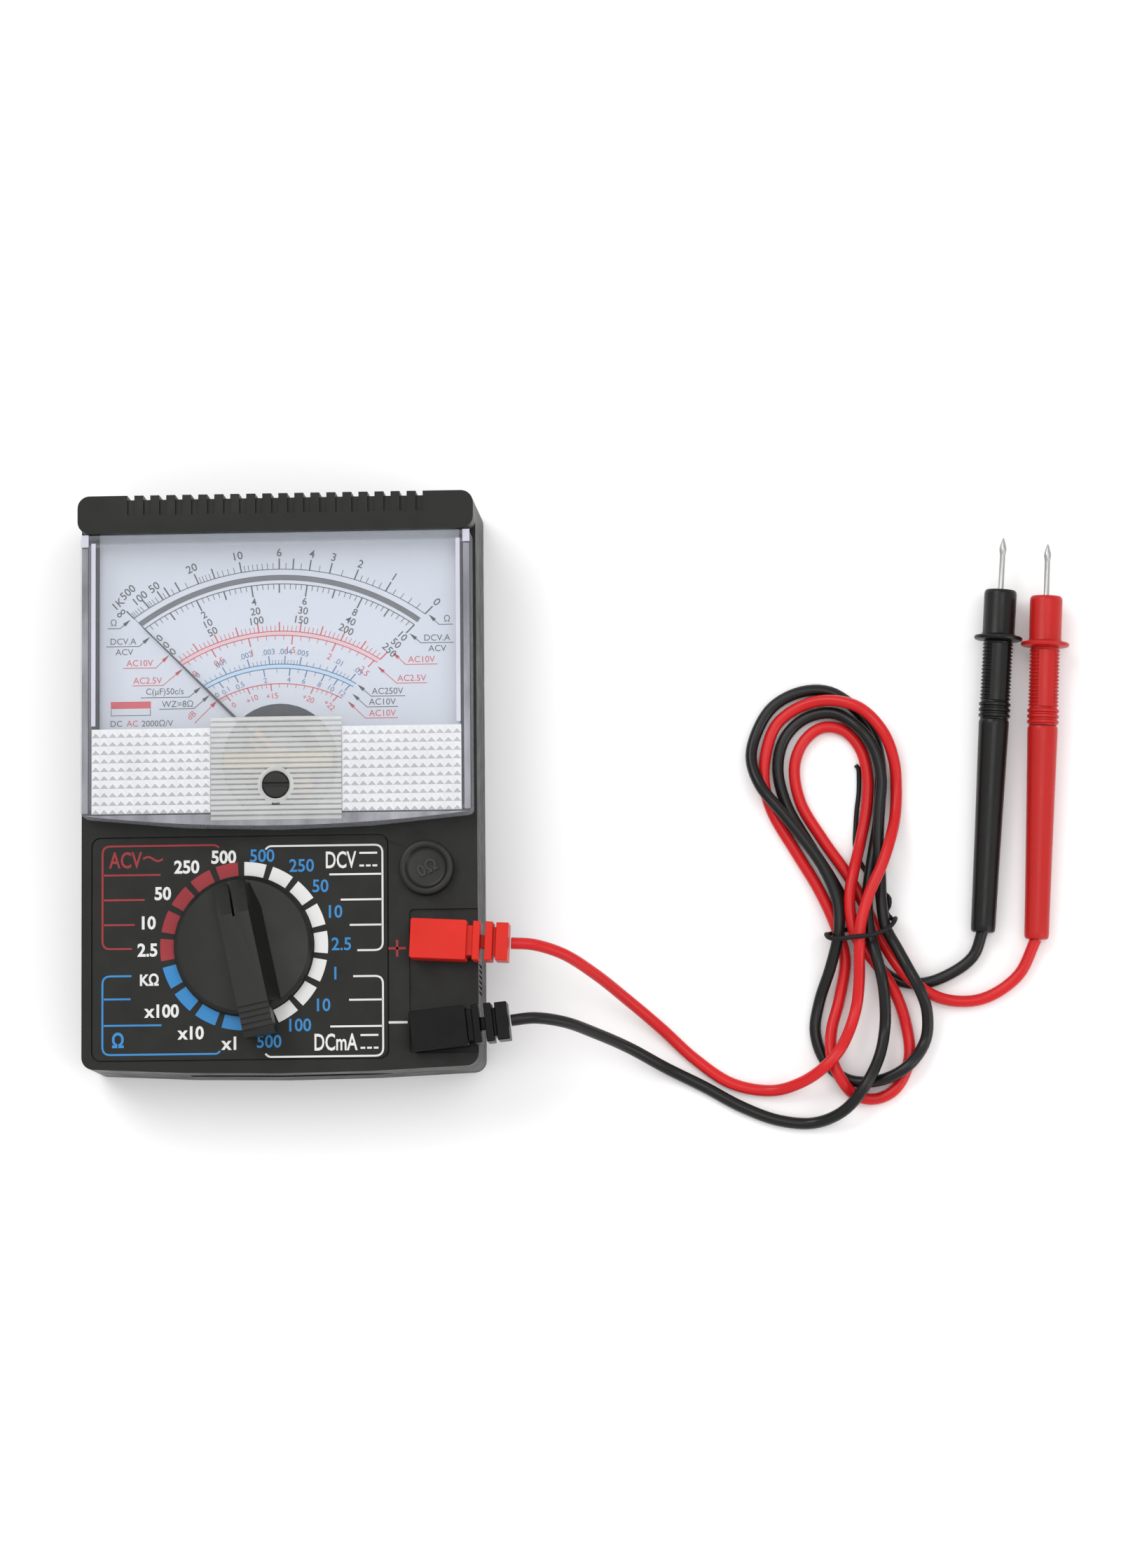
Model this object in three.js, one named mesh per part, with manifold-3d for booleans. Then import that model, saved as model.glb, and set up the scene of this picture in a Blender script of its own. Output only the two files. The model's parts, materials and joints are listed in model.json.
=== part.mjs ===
// A pocket analogue multimeter with its two test leads.
// Millimetres. The meter lies on its back: +X to its right, +Y to its top edge, +Z out of its face.
// The origin is the middle of the meter's underside.
import * as THREE from "three";
import { mergeVertices } from "three/addons/utils/BufferGeometryUtils.js";
import Module from "manifold-3d";

const wasm = await Module();
wasm.setup();

// ---------------------------------------------------------------- driving dimensions
const FIT = 0.3; // gap left between pieces that touch

const CASE = {
  halfWidth: 42.2, topY: 61.5, cornerY: -60.3, bow: 1.2, corner: 2.6,
  splitZ: 12, faceZ: 24, capZ: 31, capY: 53.4, wall: 2.2, floor: 2, thickWall: 3.3,
};
const CAP_RIB = { grooves: 19, pitch: 3.42, width: 1.5, depth: 0.9, length: 4.2, top: 0.6 };
const WINDOW = {
  halfWidth: 41.6, cornerY: -7.2, bow: 2.6, z: 24.3, topZ: 30.2, wall: 1.6, skin: 1.5,
};
const DIAL = { halfWidth: 38.6, bottomY: -5.2, z: 21.7, thick: 0.6, dome: 12.4, screwX: 18, screwY: 2.2 };
const PIVOT = { x: 0, y: 5.1 };
const SWEEP_START = 135; // degrees from +X where the pointer rests: up and to the left
const POINTER = { length: 41.5, z: 23.1, thick: 0.4, tail: 6 };
const MOVEMENT = {
  baseZ: 2.4, floorZ: 8, wallTop: 21.4, wallOuter: 13.8, wallInner: 12.5, yokeOuter: 12.1,
  yokeInner: 9.3, yokeZ: 11.8, yokeTop: 19.4, core: 6.1, coilHalf: 7.6, coilZ: 10.2, coilTop: 21.2,
};
const ZERO = { x: 0, y: -0.8, head: 2.9, bore: 3.1, eccentric: 0.8, pin: 0.5 };
const PANEL = { left: -39.8, right: 23, topY: -11.2, bottomY: -58.4, thick: 0.4 };
const SELECTOR = { x: -7.5, y: -34.4, disc: 14.7, bar: 6.6, tail: 19.8, turn: 12, shaft: 3, topZ: 32.8 };
const STEPS_AROUND = 18; // selector positions
const ROTOR = { radius: 12, z: 17.4, topZ: 20.4, ringInner: 14.2, ringOuter: 16.2 };
const OHM_KNOB = { x: 31.5, y: -18.4, radius: 5.8, dish: 4.2, z: 24.3, topZ: 26.8 };
const JACK = { x: 33, redY: -33.9, blackY: -52.9, bore: 2.1, outer: 3.2, z: 14.8, pin: 2 };
const RECESS = { left: 27.6, topY: -27, bottomY: -57.6, floorZ: 23.2 };
const BOARD = { z: 13, thick: 1.5, topY: -11, bottomY: -57, halfWidth: 38.6 };
const PLUG = { width: 8.4, height: 7.4, z: 23.5, redTurn: -3, blackTurn: 6, end: 16 };
const CORD = { diameter: 2.5, sides: 8, steps: 80 };
const PROBE = { collar: 3.5, guard: 5.2, grip: 3.2, sleeve: 3.3, tail: 2.6, needle: 0.55 };
const CELL = { radius: 7.1, length: 49, y: 40, z: 9.5 };
const CASE_SCREWS = [[-36.2, 49], [36.2, -46.4]];

// ---------------------------------------------------------------- materials
const finish = (color, roughness, metalness = 0) =>
  new THREE.MeshStandardMaterial({ color, roughness, metalness });
const BLACK = finish(0x33332f, 0.55);
const CLEAR = finish(0xdfe4ee, 0.1);
const WHITE = finish(0xdde4ea, 0.6);
const RED = finish(0xe13a2c, 0.45);
const STEEL = finish(0xb8babd, 0.3, 1);
const BRASS = finish(0xc9a24a, 0.35, 1);
const IRON = finish(0x77797c, 0.5, 1);
const COPPER = finish(0xb46a3c, 0.4, 1);
const BOARD_GREEN = finish(0x2f6b46, 0.6);
const BEIGE = finish(0xcdb58a, 0.7);
const GLASS = finish(0xe8eef0, 0.08);
const WRAP = finish(0x2c4f8f, 0.45);

// ---------------------------------------------------------------- solid helpers
function solid(geometry) {
  const bare = geometry.clone();
  bare.deleteAttribute("normal");
  bare.deleteAttribute("uv");
  const merged = mergeVertices(bare, 1e-4);
  return new wasm.Manifold(new wasm.Mesh({
    numProp: 3,
    vertProperties: new Float32Array(merged.attributes.position.array),
    triVerts: new Uint32Array(merged.index.array),
  }));
}

function geometryOf(manifold) {
  const made = manifold.getMesh();
  const geometry = new THREE.BufferGeometry();
  geometry.setAttribute("position", new THREE.BufferAttribute(made.vertProperties, 3));
  geometry.setIndex(new THREE.BufferAttribute(made.triVerts, 1));
  return geometry;
}

// Joins the first solid with the others.
const join = (first, ...others) => others.reduce((whole, piece) => whole.add(piece), first);
// Cuts every other solid out of the first.
const cut = (first, ...others) => others.reduce((whole, piece) => whole.subtract(piece), first);

function box(x0, x1, y0, y1, z0, z1) {
  const geometry = new THREE.BoxGeometry(x1 - x0, y1 - y0, z1 - z0);
  geometry.translate((x0 + x1) / 2, (y0 + y1) / 2, (z0 + z1) / 2);
  return solid(geometry);
}

// An upright cylinder about (x, y).
function post(x, y, radius, z0, z1, sides = 32) {
  const geometry = new THREE.CylinderGeometry(radius, radius, z1 - z0, sides);
  geometry.rotateX(Math.PI / 2);
  geometry.translate(x, y, (z0 + z1) / 2);
  return solid(geometry);
}

// A turned solid about +Z; its profile is [radius, z] pairs, up the outside from the axis.
function turned(profile, sides = 32) {
  const geometry = new THREE.LatheGeometry(profile.map(([r, z]) => new THREE.Vector2(r, z)), sides);
  geometry.rotateX(Math.PI / 2);
  return solid(geometry);
}

function prism(shape, z0, z1, curveSegments = 4) {
  const geometry = new THREE.ExtrudeGeometry(shape, { depth: z1 - z0, bevelEnabled: false, curveSegments });
  geometry.translate(0, 0, z0);
  return solid(geometry);
}

// A rectangle with round corners.
function plate(x0, x1, y0, y1, radius) {
  const shape = new THREE.Shape();
  shape.moveTo(x0 + radius, y0);
  shape.lineTo(x1 - radius, y0);
  shape.absarc(x1 - radius, y0 + radius, radius, -Math.PI / 2, 0);
  shape.lineTo(x1, y1 - radius);
  shape.absarc(x1 - radius, y1 - radius, radius, 0, Math.PI / 2);
  shape.lineTo(x0 + radius, y1);
  shape.absarc(x0 + radius, y1 - radius, radius, Math.PI / 2, Math.PI);
  shape.lineTo(x0, y0 + radius);
  shape.absarc(x0 + radius, y0 + radius, radius, Math.PI, 1.5 * Math.PI);
  return shape;
}

// A plate whose lower edge bows down by `bow` in the middle.
function bowedPlate(halfWidth, lowY, topY, bow, radius) {
  const shape = new THREE.Shape();
  shape.moveTo(-halfWidth + radius, lowY);
  shape.quadraticCurveTo(0, lowY - 2 * bow, halfWidth - radius, lowY);
  shape.absarc(halfWidth - radius, lowY + radius, radius, -Math.PI / 2, 0);
  shape.lineTo(halfWidth, topY - radius);
  shape.absarc(halfWidth - radius, topY - radius, radius, 0, Math.PI / 2);
  shape.lineTo(-halfWidth + radius, topY);
  shape.absarc(-halfWidth + radius, topY - radius, radius, Math.PI / 2, Math.PI);
  shape.lineTo(-halfWidth, lowY + radius);
  shape.absarc(-halfWidth + radius, lowY + radius, radius, Math.PI, 1.5 * Math.PI);
  return shape;
}

// A round bar of the given diameter along a list of points.
function bar(points, diameter, steps, sides = 8) {
  const section = new THREE.Shape();
  for (let i = 0; i <= sides; i++) {
    const angle = (2 * Math.PI * i) / sides;
    const [x, y] = [(diameter / 2) * Math.cos(angle), (diameter / 2) * Math.sin(angle)];
    if (i === 0) section.moveTo(x, y);
    else section.lineTo(x, y);
  }
  const extrudePath = new THREE.CatmullRomCurve3(points.map((p) => new THREE.Vector3(...p)));
  return new THREE.ExtrudeGeometry(section, { steps, extrudePath, bevelEnabled: false });
}

// A coil spring about +Z whose radius goes from r0 to r1.
function coil(r0, r1, z0, z1, turns, wire, stepsPerTurn = 10, sides = 4) {
  const points = [];
  const count = turns * stepsPerTurn;
  for (let i = 0; i <= count; i++) {
    const share = i / count;
    const angle = 2 * Math.PI * turns * share;
    const radius = r0 + (r1 - r0) * share;
    points.push([radius * Math.cos(angle), radius * Math.sin(angle), z0 + (z1 - z0) * share]);
  }
  return bar(points, wire, count, sides);
}

// A flat spiral strip about +Z, such as a hairspring.
function spiralStrip(r0, r1, turns, width, z0, z1) {
  const steps = turns * 14;
  const edge = (offset) => {
    const points = [];
    for (let i = 0; i <= steps; i++) {
      const angle = (2 * Math.PI * turns * i) / steps;
      const radius = r0 + ((r1 - r0) * i) / steps + offset;
      points.push(new THREE.Vector2(radius * Math.cos(angle), radius * Math.sin(angle)));
    }
    return points;
  };
  const outline = [...edge(width / 2), ...edge(-width / 2).reverse()];
  return prism(new THREE.Shape(outline), z0, z1);
}

const part = new THREE.Group();

// Adds a named piece at a place; `turnZ` is in degrees.
function add(name, shape, material, [x, y, z] = [0, 0, 0], turnZ = 0, parent = part) {
  const geometry = shape.isBufferGeometry ? shape : geometryOf(shape);
  const mesh = new THREE.Mesh(geometry, material);
  mesh.name = name;
  mesh.position.set(x, y, z);
  mesh.rotation.z = THREE.MathUtils.degToRad(turnZ);
  parent.add(mesh);
  return mesh;
}

// ---------------------------------------------------------------- case
function rearCase() {
  const { halfWidth, cornerY, topY, bow, corner, splitZ, wall, floor } = CASE;
  const inner = halfWidth - wall;
  let shell = cut(
    prism(bowedPlate(halfWidth, cornerY, topY, bow, corner), 0, splitZ - FIT),
    prism(bowedPlate(inner, cornerY + wall, topY - wall, bow, 1), floor, splitZ + 1),
  );
  for (const [x, y] of CASE_SCREWS) {
    shell = join(shell, post(x, y, 3.1, floor - 1, splitZ - FIT, 16));
    shell = cut(shell, post(x, y, 1.5, -1, splitZ + 1, 12), post(x, y, 2.7, -1, 3.2, 16));
  }
  // cradle ribs and the two end walls for the cell
  for (const x of [-14, 14]) {
    const rib = box(x - 0.8, x + 0.8, CELL.y - 9, CELL.y + 9, floor - 0.5, 7.5);
    shell = join(shell, rib);
  }
  const cellSeat = new THREE.CylinderGeometry(CELL.radius + FIT, CELL.radius + FIT, 40, 24);
  cellSeat.rotateZ(Math.PI / 2);
  cellSeat.translate(0, CELL.y, CELL.z);
  shell = cut(shell, solid(cellSeat));
  for (const side of [-1, 1]) {
    const x = side * 31.5;
    shell = join(shell, box(x - 0.9, x + 0.9, CELL.y - 8, CELL.y + 8, floor - 0.5, splitZ - FIT));
  }
  // feet pads stand the board off the floor
  for (const [x, y] of [[-30, -15], [30, -28], [-20, -55], [20, -55]]) {
    shell = join(shell, post(x, y, 2, floor - 0.5, splitZ - FIT, 12));
  }
  return shell;
}

function frontCase() {
  const { halfWidth, cornerY, topY, bow, corner, splitZ, faceZ, capZ, capY, wall, thickWall } = CASE;
  const inner = halfWidth - wall;
  let shell = prism(bowedPlate(halfWidth, cornerY, topY, bow, corner), splitZ, faceZ);
  shell = join(shell, prism(plate(-halfWidth, halfWidth, capY, topY, corner), faceZ - 0.5, capZ));
  // hollow behind the panel, behind the dial and under the cap
  const lowY = cornerY + wall;
  shell = cut(
    shell,
    prism(bowedPlate(inner, lowY, -10.6, bow, 1), splitZ - 1, faceZ - wall),
    box(-halfWidth + thickWall, halfWidth - thickWall, -10.7, capY - 0.4, splitZ - 1, capZ + 1),
    box(-inner, inner, capY - 0.5, topY - wall, splitZ - 1, capZ - wall),
  );
  // bar that carries the window's lower edge
  shell = join(shell, box(-inner, inner, -10.8, -9.1, 18.5, faceZ));
  for (const side of [-1, 1]) {
    const [near, far] = [side * 16, side * inner];
    shell = join(shell, box(Math.min(near, far), Math.max(near, far), -9.5, -5.6, 18.5, faceZ));
  }
  // notches of the grip along the top end and their short runs on the cap's face
  for (let i = 0; i < CAP_RIB.grooves; i++) {
    const x = (i - (CAP_RIB.grooves - 1) / 2) * CAP_RIB.pitch;
    const half = CAP_RIB.width / 2;
    shell = cut(
      shell,
      box(x - half, x + half, topY - CAP_RIB.depth, topY + 1, splitZ + 2, capZ + 1),
      box(x - half, x + half, topY - CAP_RIB.length, topY + 1, capZ - CAP_RIB.top, capZ + 1),
    );
  }
  // pocket for the printed panel, the jack recess and the shallow step in the bottom end
  shell = cut(
    shell,
    prism(plate(PANEL.left - FIT, PANEL.right + FIT, PANEL.bottomY - FIT, PANEL.topY + FIT, 2),
      faceZ - PANEL.thick - FIT, faceZ + 1),
    prism(plate(RECESS.left, halfWidth + 4, RECESS.bottomY, RECESS.topY, 1), RECESS.floorZ, faceZ + 1),
    box(-20, 23, cornerY - 3, cornerY - bow + 0.5, splitZ - 1, 17),
  );
  // collars for the jacks and the detent ring around the rotor
  for (const y of [JACK.redY, JACK.blackY]) {
    shell = join(shell, post(JACK.x, y, JACK.outer + FIT + 1.6, 17, RECESS.floorZ - 0.5, 20));
    shell = cut(shell, post(JACK.x, y, JACK.outer + FIT, splitZ, faceZ + 1, 24));
  }
  let ring = cut(
    post(SELECTOR.x, SELECTOR.y, ROTOR.ringOuter, ROTOR.z, faceZ - wall + 0.2, 36),
    post(SELECTOR.x, SELECTOR.y, ROTOR.ringInner, ROTOR.z - 1, faceZ, 36),
  );
  for (let i = 0; i < STEPS_AROUND; i++) {
    const angle = THREE.MathUtils.degToRad(90 + SELECTOR.turn + (360 / STEPS_AROUND) * i);
    const reach = ROTOR.ringInner - 0.2;
    const [x, y] = [SELECTOR.x + reach * Math.cos(angle), SELECTOR.y + reach * Math.sin(angle)];
    ring = cut(ring, post(x, y, 1.4, ROTOR.z - 1, faceZ - wall - 0.2, 6));
  }
  shell = join(shell, ring);
  shell = cut(
    shell,
    post(SELECTOR.x, SELECTOR.y, SELECTOR.shaft + 0.1, splitZ, faceZ + 1),
    post(OHM_KNOB.x, OHM_KNOB.y, 2.6, splitZ, faceZ + 1, 24),
  );
  // screw posts down to the rear case
  for (const [x, y] of CASE_SCREWS) {
    const top = y > 0 ? 20.4 : faceZ - wall + 0.2;
    shell = join(shell, post(x, y, 3.1, splitZ, top, 20));
    shell = cut(shell, post(x, y, 1.2, splitZ - 1, splitZ + 7, 12));
  }
  // grip flutes low on the right side
  for (let i = 0; i < 6; i++) {
    const y = -38.8 - 1.15 * i;
    shell = cut(shell, box(halfWidth - 0.3, halfWidth + 1, y - 0.3, y + 0.3, splitZ + 1, 21));
  }
  return shell;
}

function windowCover() {
  const { halfWidth, cornerY, bow, z, topZ, wall, skin } = WINDOW;
  const topY = CASE.capY - FIT;
  return cut(
    prism(bowedPlate(halfWidth, cornerY, topY, bow, 1.2), z, topZ),
    prism(bowedPlate(halfWidth - wall, cornerY + wall, topY - wall, bow, 0.6), z - 1, topZ - skin),
    post(ZERO.x, ZERO.y, ZERO.bore, z, topZ + 1, 28),
  );
}

function dialPlate() {
  const top = CASE.capY + 1.4;
  return cut(
    prism(plate(-DIAL.halfWidth, DIAL.halfWidth, DIAL.bottomY, top, 0.6), DIAL.z, DIAL.z + DIAL.thick),
    post(PIVOT.x, PIVOT.y, DIAL.dome, DIAL.z - 1, DIAL.z + 2, 40),
    post(-DIAL.screwX, DIAL.screwY, 0.9, DIAL.z - 1, DIAL.z + 2, 12),
    post(DIAL.screwX, DIAL.screwY, 0.9, DIAL.z - 1, DIAL.z + 2, 12),
    box(-4, 4, DIAL.bottomY - 1, PIVOT.y, DIAL.z - 1, DIAL.z + 2),
  );
}

// A cross- or slot-headed screw, head down on -Z at the local origin.
function screw(headRadius, headHeight, shankRadius, length) {
  const body = turned([
    [0, 0], [headRadius, 0], [headRadius, headHeight], [shankRadius, headHeight],
    [shankRadius, length - 0.6], [shankRadius - 0.5, length], [0, length],
  ], 16);
  const slot = 0.35;
  return cut(
    body,
    box(-headRadius * 0.6, headRadius * 0.6, -slot, slot, -1, headHeight * 0.4),
    box(-slot, slot, -headRadius * 0.6, headRadius * 0.6, -1, headHeight * 0.4),
  );
}

add("rear_case", rearCase(), BLACK);
add("front_case", frontCase(), BLACK);
add("window_cover", windowCover(), CLEAR);
add("dial_plate", dialPlate(), WHITE);
CASE_SCREWS.forEach(([x, y], i) => {
  add(`case_screw_${i + 1}`, screw(2.4, 1.6, 0.9, 15), STEEL, [x, y, 1.3]);
});
for (const [name, side] of [["left", -1], ["right", 1]]) {
  const pin = turned([[0, 0], [0.7, 0], [0.7, 2.4], [1.5, 2.4], [1.5, 3.1], [0, 3.1]], 14);
  add(`dial_screw_${name}`, pin, STEEL, [side * DIAL.screwX, DIAL.screwY, DIAL.z - 1.6]);
}
add(
  "range_plate",
  cut(
    prism(plate(PANEL.left, PANEL.right, PANEL.bottomY, PANEL.topY, 1.8), CASE.faceZ - PANEL.thick, CASE.faceZ),
    post(SELECTOR.x, SELECTOR.y, SELECTOR.shaft + 0.6, 20, 26),
  ),
  BLACK,
);

// ---------------------------------------------------------------- movement
function movementBase() {
  const m = MOVEMENT;
  const cup = turned([
    [1.4, m.baseZ], [m.wallOuter, m.baseZ], [m.wallOuter, m.wallTop], [m.wallInner, m.wallTop],
    [m.wallInner, m.yokeZ - FIT], [10.6, m.yokeZ - FIT], [10.6, m.floorZ], [1.4, m.floorZ],
    [1.4, m.baseZ],
  ], 28);
  return cut(cup, box(-15, 15, -2, 2, m.yokeTop + 0.4, 24));
}

function movingCoil() {
  const { coilHalf, coilZ, coilTop } = MOVEMENT;
  const half = 1.6;
  const wide = 0.8;
  return cut(
    box(-coilHalf - wide, coilHalf + wide, -half, half, coilZ, coilTop),
    box(-coilHalf, coilHalf, -half - 1, half + 1, coilZ + 0.9, coilTop - 0.9),
  );
}

function pointer() {
  const { length, thick, tail } = POINTER;
  const blade = new THREE.Shape();
  blade.moveTo(-tail, -0.6);
  blade.lineTo(0, -0.4);
  blade.lineTo(length, -0.12);
  blade.lineTo(length, 0.12);
  blade.lineTo(0, 0.4);
  blade.lineTo(-tail, 0.6);
  return cut(
    join(prism(blade, 0, thick), post(0, 0, 1.7, 0, thick, 20)),
    post(0, 0, 0.55, -1, thick + 1, 16),
  );
}

function staff(z0, z1) {
  return turned([[0, z0], [0.12, z0], [0.45, z0 + 0.5], [0.45, z1 - 0.5], [0.12, z1], [0, z1]], 16);
}

function upperBridge() {
  const reach = MOVEMENT.wallInner - 0.9;
  const strip = box(-reach, reach, -1.7, 1.7, 24.7, 25.4);
  const legs = [-1, 1].map((side) =>
    box(side * (reach - 0.6) - 0.6, side * (reach - 0.6) + 0.6, -1.4, 1.4, MOVEMENT.yokeTop + FIT, 24.9));
  return cut(join(strip, ...legs), post(0, 0, 1.05, 24, 26, 16));
}

function jewelScrew(z0, z1) {
  return cut(
    turned([[0, z0], [0.9, z0], [0.9, z1 - 0.5], [1.3, z1 - 0.5], [1.3, z1], [0, z1]], 16),
    post(0, 0, 0.3, z0 - 1, z0 + 0.5, 10),
    box(-2, 2, -0.2, 0.2, z1 - 0.25, z1 + 1),
  );
}

// The zero lever turns about the pivot; its fork takes the eccentric pin of the zero screw.
function zeroLever() {
  const reach = PIVOT.y - ZERO.y;
  const arm = join(
    post(0, 0, 2, 25.75, 26.15, 20),
    box(-0.7, 0.7, -reach + 1.6, 0, 25.75, 26.15),
    box(-1.5, 1.5, -reach - 1.6, -reach + 1.7, 25.75, 26.15),
  );
  return cut(arm, post(0, 0, 1.05, 25, 27, 16), box(-0.72, 0.72, -reach - 2, -reach + 1.2, 25, 27));
}

function zeroScrew() {
  const body = join(
    turned([[0, 28], [1.6, 28], [ZERO.head, 28.7], [ZERO.head, 30.3], [2.6, 30.6], [0, 30.6]], 28),
    post(0, -ZERO.eccentric, ZERO.pin, 25.7, 28.3, 12),
  );
  return cut(body, box(-4, 4, -0.45, 0.45, 29.9, 31));
}

const pivotAt = [PIVOT.x, PIVOT.y, 0];
add("movement_base", movementBase(), BLACK, pivotAt);
add(
  "yoke_ring",
  turned([
    [MOVEMENT.yokeInner, MOVEMENT.yokeZ], [MOVEMENT.yokeOuter, MOVEMENT.yokeZ],
    [MOVEMENT.yokeOuter, MOVEMENT.yokeTop], [MOVEMENT.yokeInner, MOVEMENT.yokeTop],
    [MOVEMENT.yokeInner, MOVEMENT.yokeZ],
  ], 36),
  IRON, pivotAt,
);
add("core_magnet", post(0, 0, MOVEMENT.core, 12.2, 19, 32), IRON, pivotAt);
const coreArm = cut(
  box(-1.5, 1.5, -MOVEMENT.yokeInner + FIT, MOVEMENT.yokeInner - FIT, 14, 17),
  post(0, 0, MOVEMENT.core + FIT, 13, 18, 32),
);
coreArm.decompose().forEach((arm, i) => {
  add(`core_bracket_${i + 1}`, arm, BRASS, pivotAt, 90);
});
add("moving_coil", movingCoil(), COPPER, pivotAt, SWEEP_START);
add("pointer", pointer(), BLACK, [PIVOT.x, PIVOT.y, POINTER.z], SWEEP_START);
add("pivot_staff_upper", staff(MOVEMENT.coilTop + FIT, 24.9), STEEL, pivotAt);
add("pivot_staff_lower", staff(8.2, MOVEMENT.coilZ - FIT), STEEL, pivotAt);
add("upper_bridge", upperBridge(), BRASS, pivotAt);
add("upper_jewel_screw", jewelScrew(24.75, 27), BRASS, pivotAt);
add("lower_jewel_screw", turned([[0, 3], [1.1, 3], [1.1, 7.6], [0.3, 7.6], [0.3, 7.9], [0, 7.9]], 16),
  BRASS, pivotAt);
add("upper_hairspring", spiralStrip(1.4, 3.6, 3, 0.2, 23.8, 24.2), BRASS, pivotAt);
add("lower_hairspring", spiralStrip(1.2, 3.6, 3, 0.2, 9.1, 9.5), BRASS, pivotAt);
add("zero_lever", zeroLever(), BRASS, pivotAt);
add("zero_adjust_screw", zeroScrew(), BLACK, [ZERO.x, ZERO.y, 0]);

// ---------------------------------------------------------------- range selector
function selectorKnob() {
  const { disc, bar: barWidth, tail, shaft, topZ } = SELECTOR;
  const half = barWidth / 2;
  const base = turned([
    [0, 24.4], [disc - 0.4, 24.4], [disc, 24.8], [disc, 25.6], [disc - 0.8, 26.4], [0, 26.4],
  ], 48);
  // side outline of the pointer bar: a low sloping nose, a flat top and an overhanging tail
  const side = new THREE.Shape();
  side.moveTo(disc - 1.2, 26);
  side.lineTo(disc - 1.2, 28.2);
  side.lineTo(disc - 8.4, topZ);
  side.lineTo(-tail + 1.2, topZ);
  side.lineTo(-tail, topZ - 1.2);
  side.lineTo(-tail, 26.6);
  side.lineTo(-disc + 1, 26);
  const ridge = new THREE.ExtrudeGeometry(side, { depth: barWidth, bevelEnabled: false });
  ridge.rotateX(Math.PI / 2);
  ridge.translate(0, half, 0);
  // the bar's right flank slopes down to the disc
  const flank = new THREE.Shape();
  flank.moveTo(-half + 0.2, 26);
  flank.lineTo(-half - 2.4, 26);
  flank.lineTo(-half + 0.2, topZ - 0.6);
  const slope = new THREE.ExtrudeGeometry(flank, { depth: 20, bevelEnabled: false });
  slope.rotateX(Math.PI / 2);
  slope.rotateZ(Math.PI / 2);
  slope.translate(-13, 0, 0);
  let knob = join(base, solid(ridge), solid(slope), post(0, 0, shaft, ROTOR.topZ + FIT, 24.6, 32));
  knob = cut(knob, box(disc - 9, disc, -0.25, 0.25, 27.6, 40));
  for (let i = 0; i < 5; i++) {
    const x = -tail + 1.3 + 1.25 * i;
    knob = cut(knob, box(x - 0.25, x + 0.25, -half - 1, half + 1, topZ - 0.5, topZ + 1));
  }
  return knob;
}

function selectorRotor() {
  const disc = post(0, 0, ROTOR.radius, ROTOR.z, ROTOR.topZ, 40);
  const pocket = new THREE.CylinderGeometry(1.4, 1.4, 8, 14);
  pocket.rotateZ(Math.PI / 2);
  pocket.translate(ROTOR.radius - 3, 0, (ROTOR.z + ROTOR.topZ) / 2);
  return cut(disc, solid(pocket));
}

function wiperContact() {
  const strip = box(-10, 10, -1.5, 1.5, 16.6, 17.1);
  const pads = [-9, -5, 5, 9].map((x) => post(x, 0, 1, 14.9, 16.8, 10));
  return join(strip, ...pads);
}

const selectorTurn = 90 + SELECTOR.turn;
const selectorAt = [SELECTOR.x, SELECTOR.y, 0];
add("selector_knob", selectorKnob(), BLACK, selectorAt, selectorTurn);
add("selector_rotor", selectorRotor(), WHITE, selectorAt, selectorTurn);
add("wiper_contact", wiperContact(), BRASS, selectorAt, selectorTurn);
const detent = new THREE.Group();
detent.position.set(SELECTOR.x, SELECTOR.y, (ROTOR.z + ROTOR.topZ) / 2);
detent.rotation.z = THREE.MathUtils.degToRad(selectorTurn);
part.add(detent);
const ball = new THREE.SphereGeometry(1.2, 16, 12);
ball.translate(12.9, 0, 0);
add("detent_ball", solid(ball), STEEL, [0, 0, 0], 0, detent);
const detentSpring = coil(0.85, 0.85, 5.4, 11.3, 5, 0.35);
detentSpring.rotateY(Math.PI / 2);
add("detent_spring", detentSpring, STEEL, [0, 0, 0], 0, detent);

// ---------------------------------------------------------------- board and its parts
function circuitBoard() {
  let board = prism(
    plate(-BOARD.halfWidth, BOARD.halfWidth, BOARD.bottomY, BOARD.topY, 1), BOARD.z, BOARD.z + BOARD.thick);
  const [x, y] = CASE_SCREWS[1];
  board = cut(board, post(x, y, 3.6, BOARD.z - 1, BOARD.z + 3, 20));
  return board;
}

// A two-lead part standing on the board: a body along Y with its leads bent down to the board.
function leaded(bodyRadius, bodyLength, height) {
  const reach = bodyLength / 2 + 1.5;
  const body = new THREE.CylinderGeometry(bodyRadius, bodyRadius, bodyLength, 14);
  body.translate(0, 0, height);
  const foot = BOARD.z + BOARD.thick + FIT;
  const lead = bar([
    [0, -reach, foot], [0, -reach, height - 0.7], [0, -reach + 0.7, height],
    [0, reach - 0.7, height], [0, reach, height - 0.7], [0, reach, foot],
  ], 0.6, 13, 5);
  return join(solid(body), solid(lead));
}

function jackBarrel() {
  return turned([
    [JACK.bore, JACK.z], [JACK.outer, JACK.z], [JACK.outer, RECESS.floorZ - 0.1],
    [JACK.bore, RECESS.floorZ - 0.1], [JACK.bore, JACK.z],
  ], 28);
}

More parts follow.
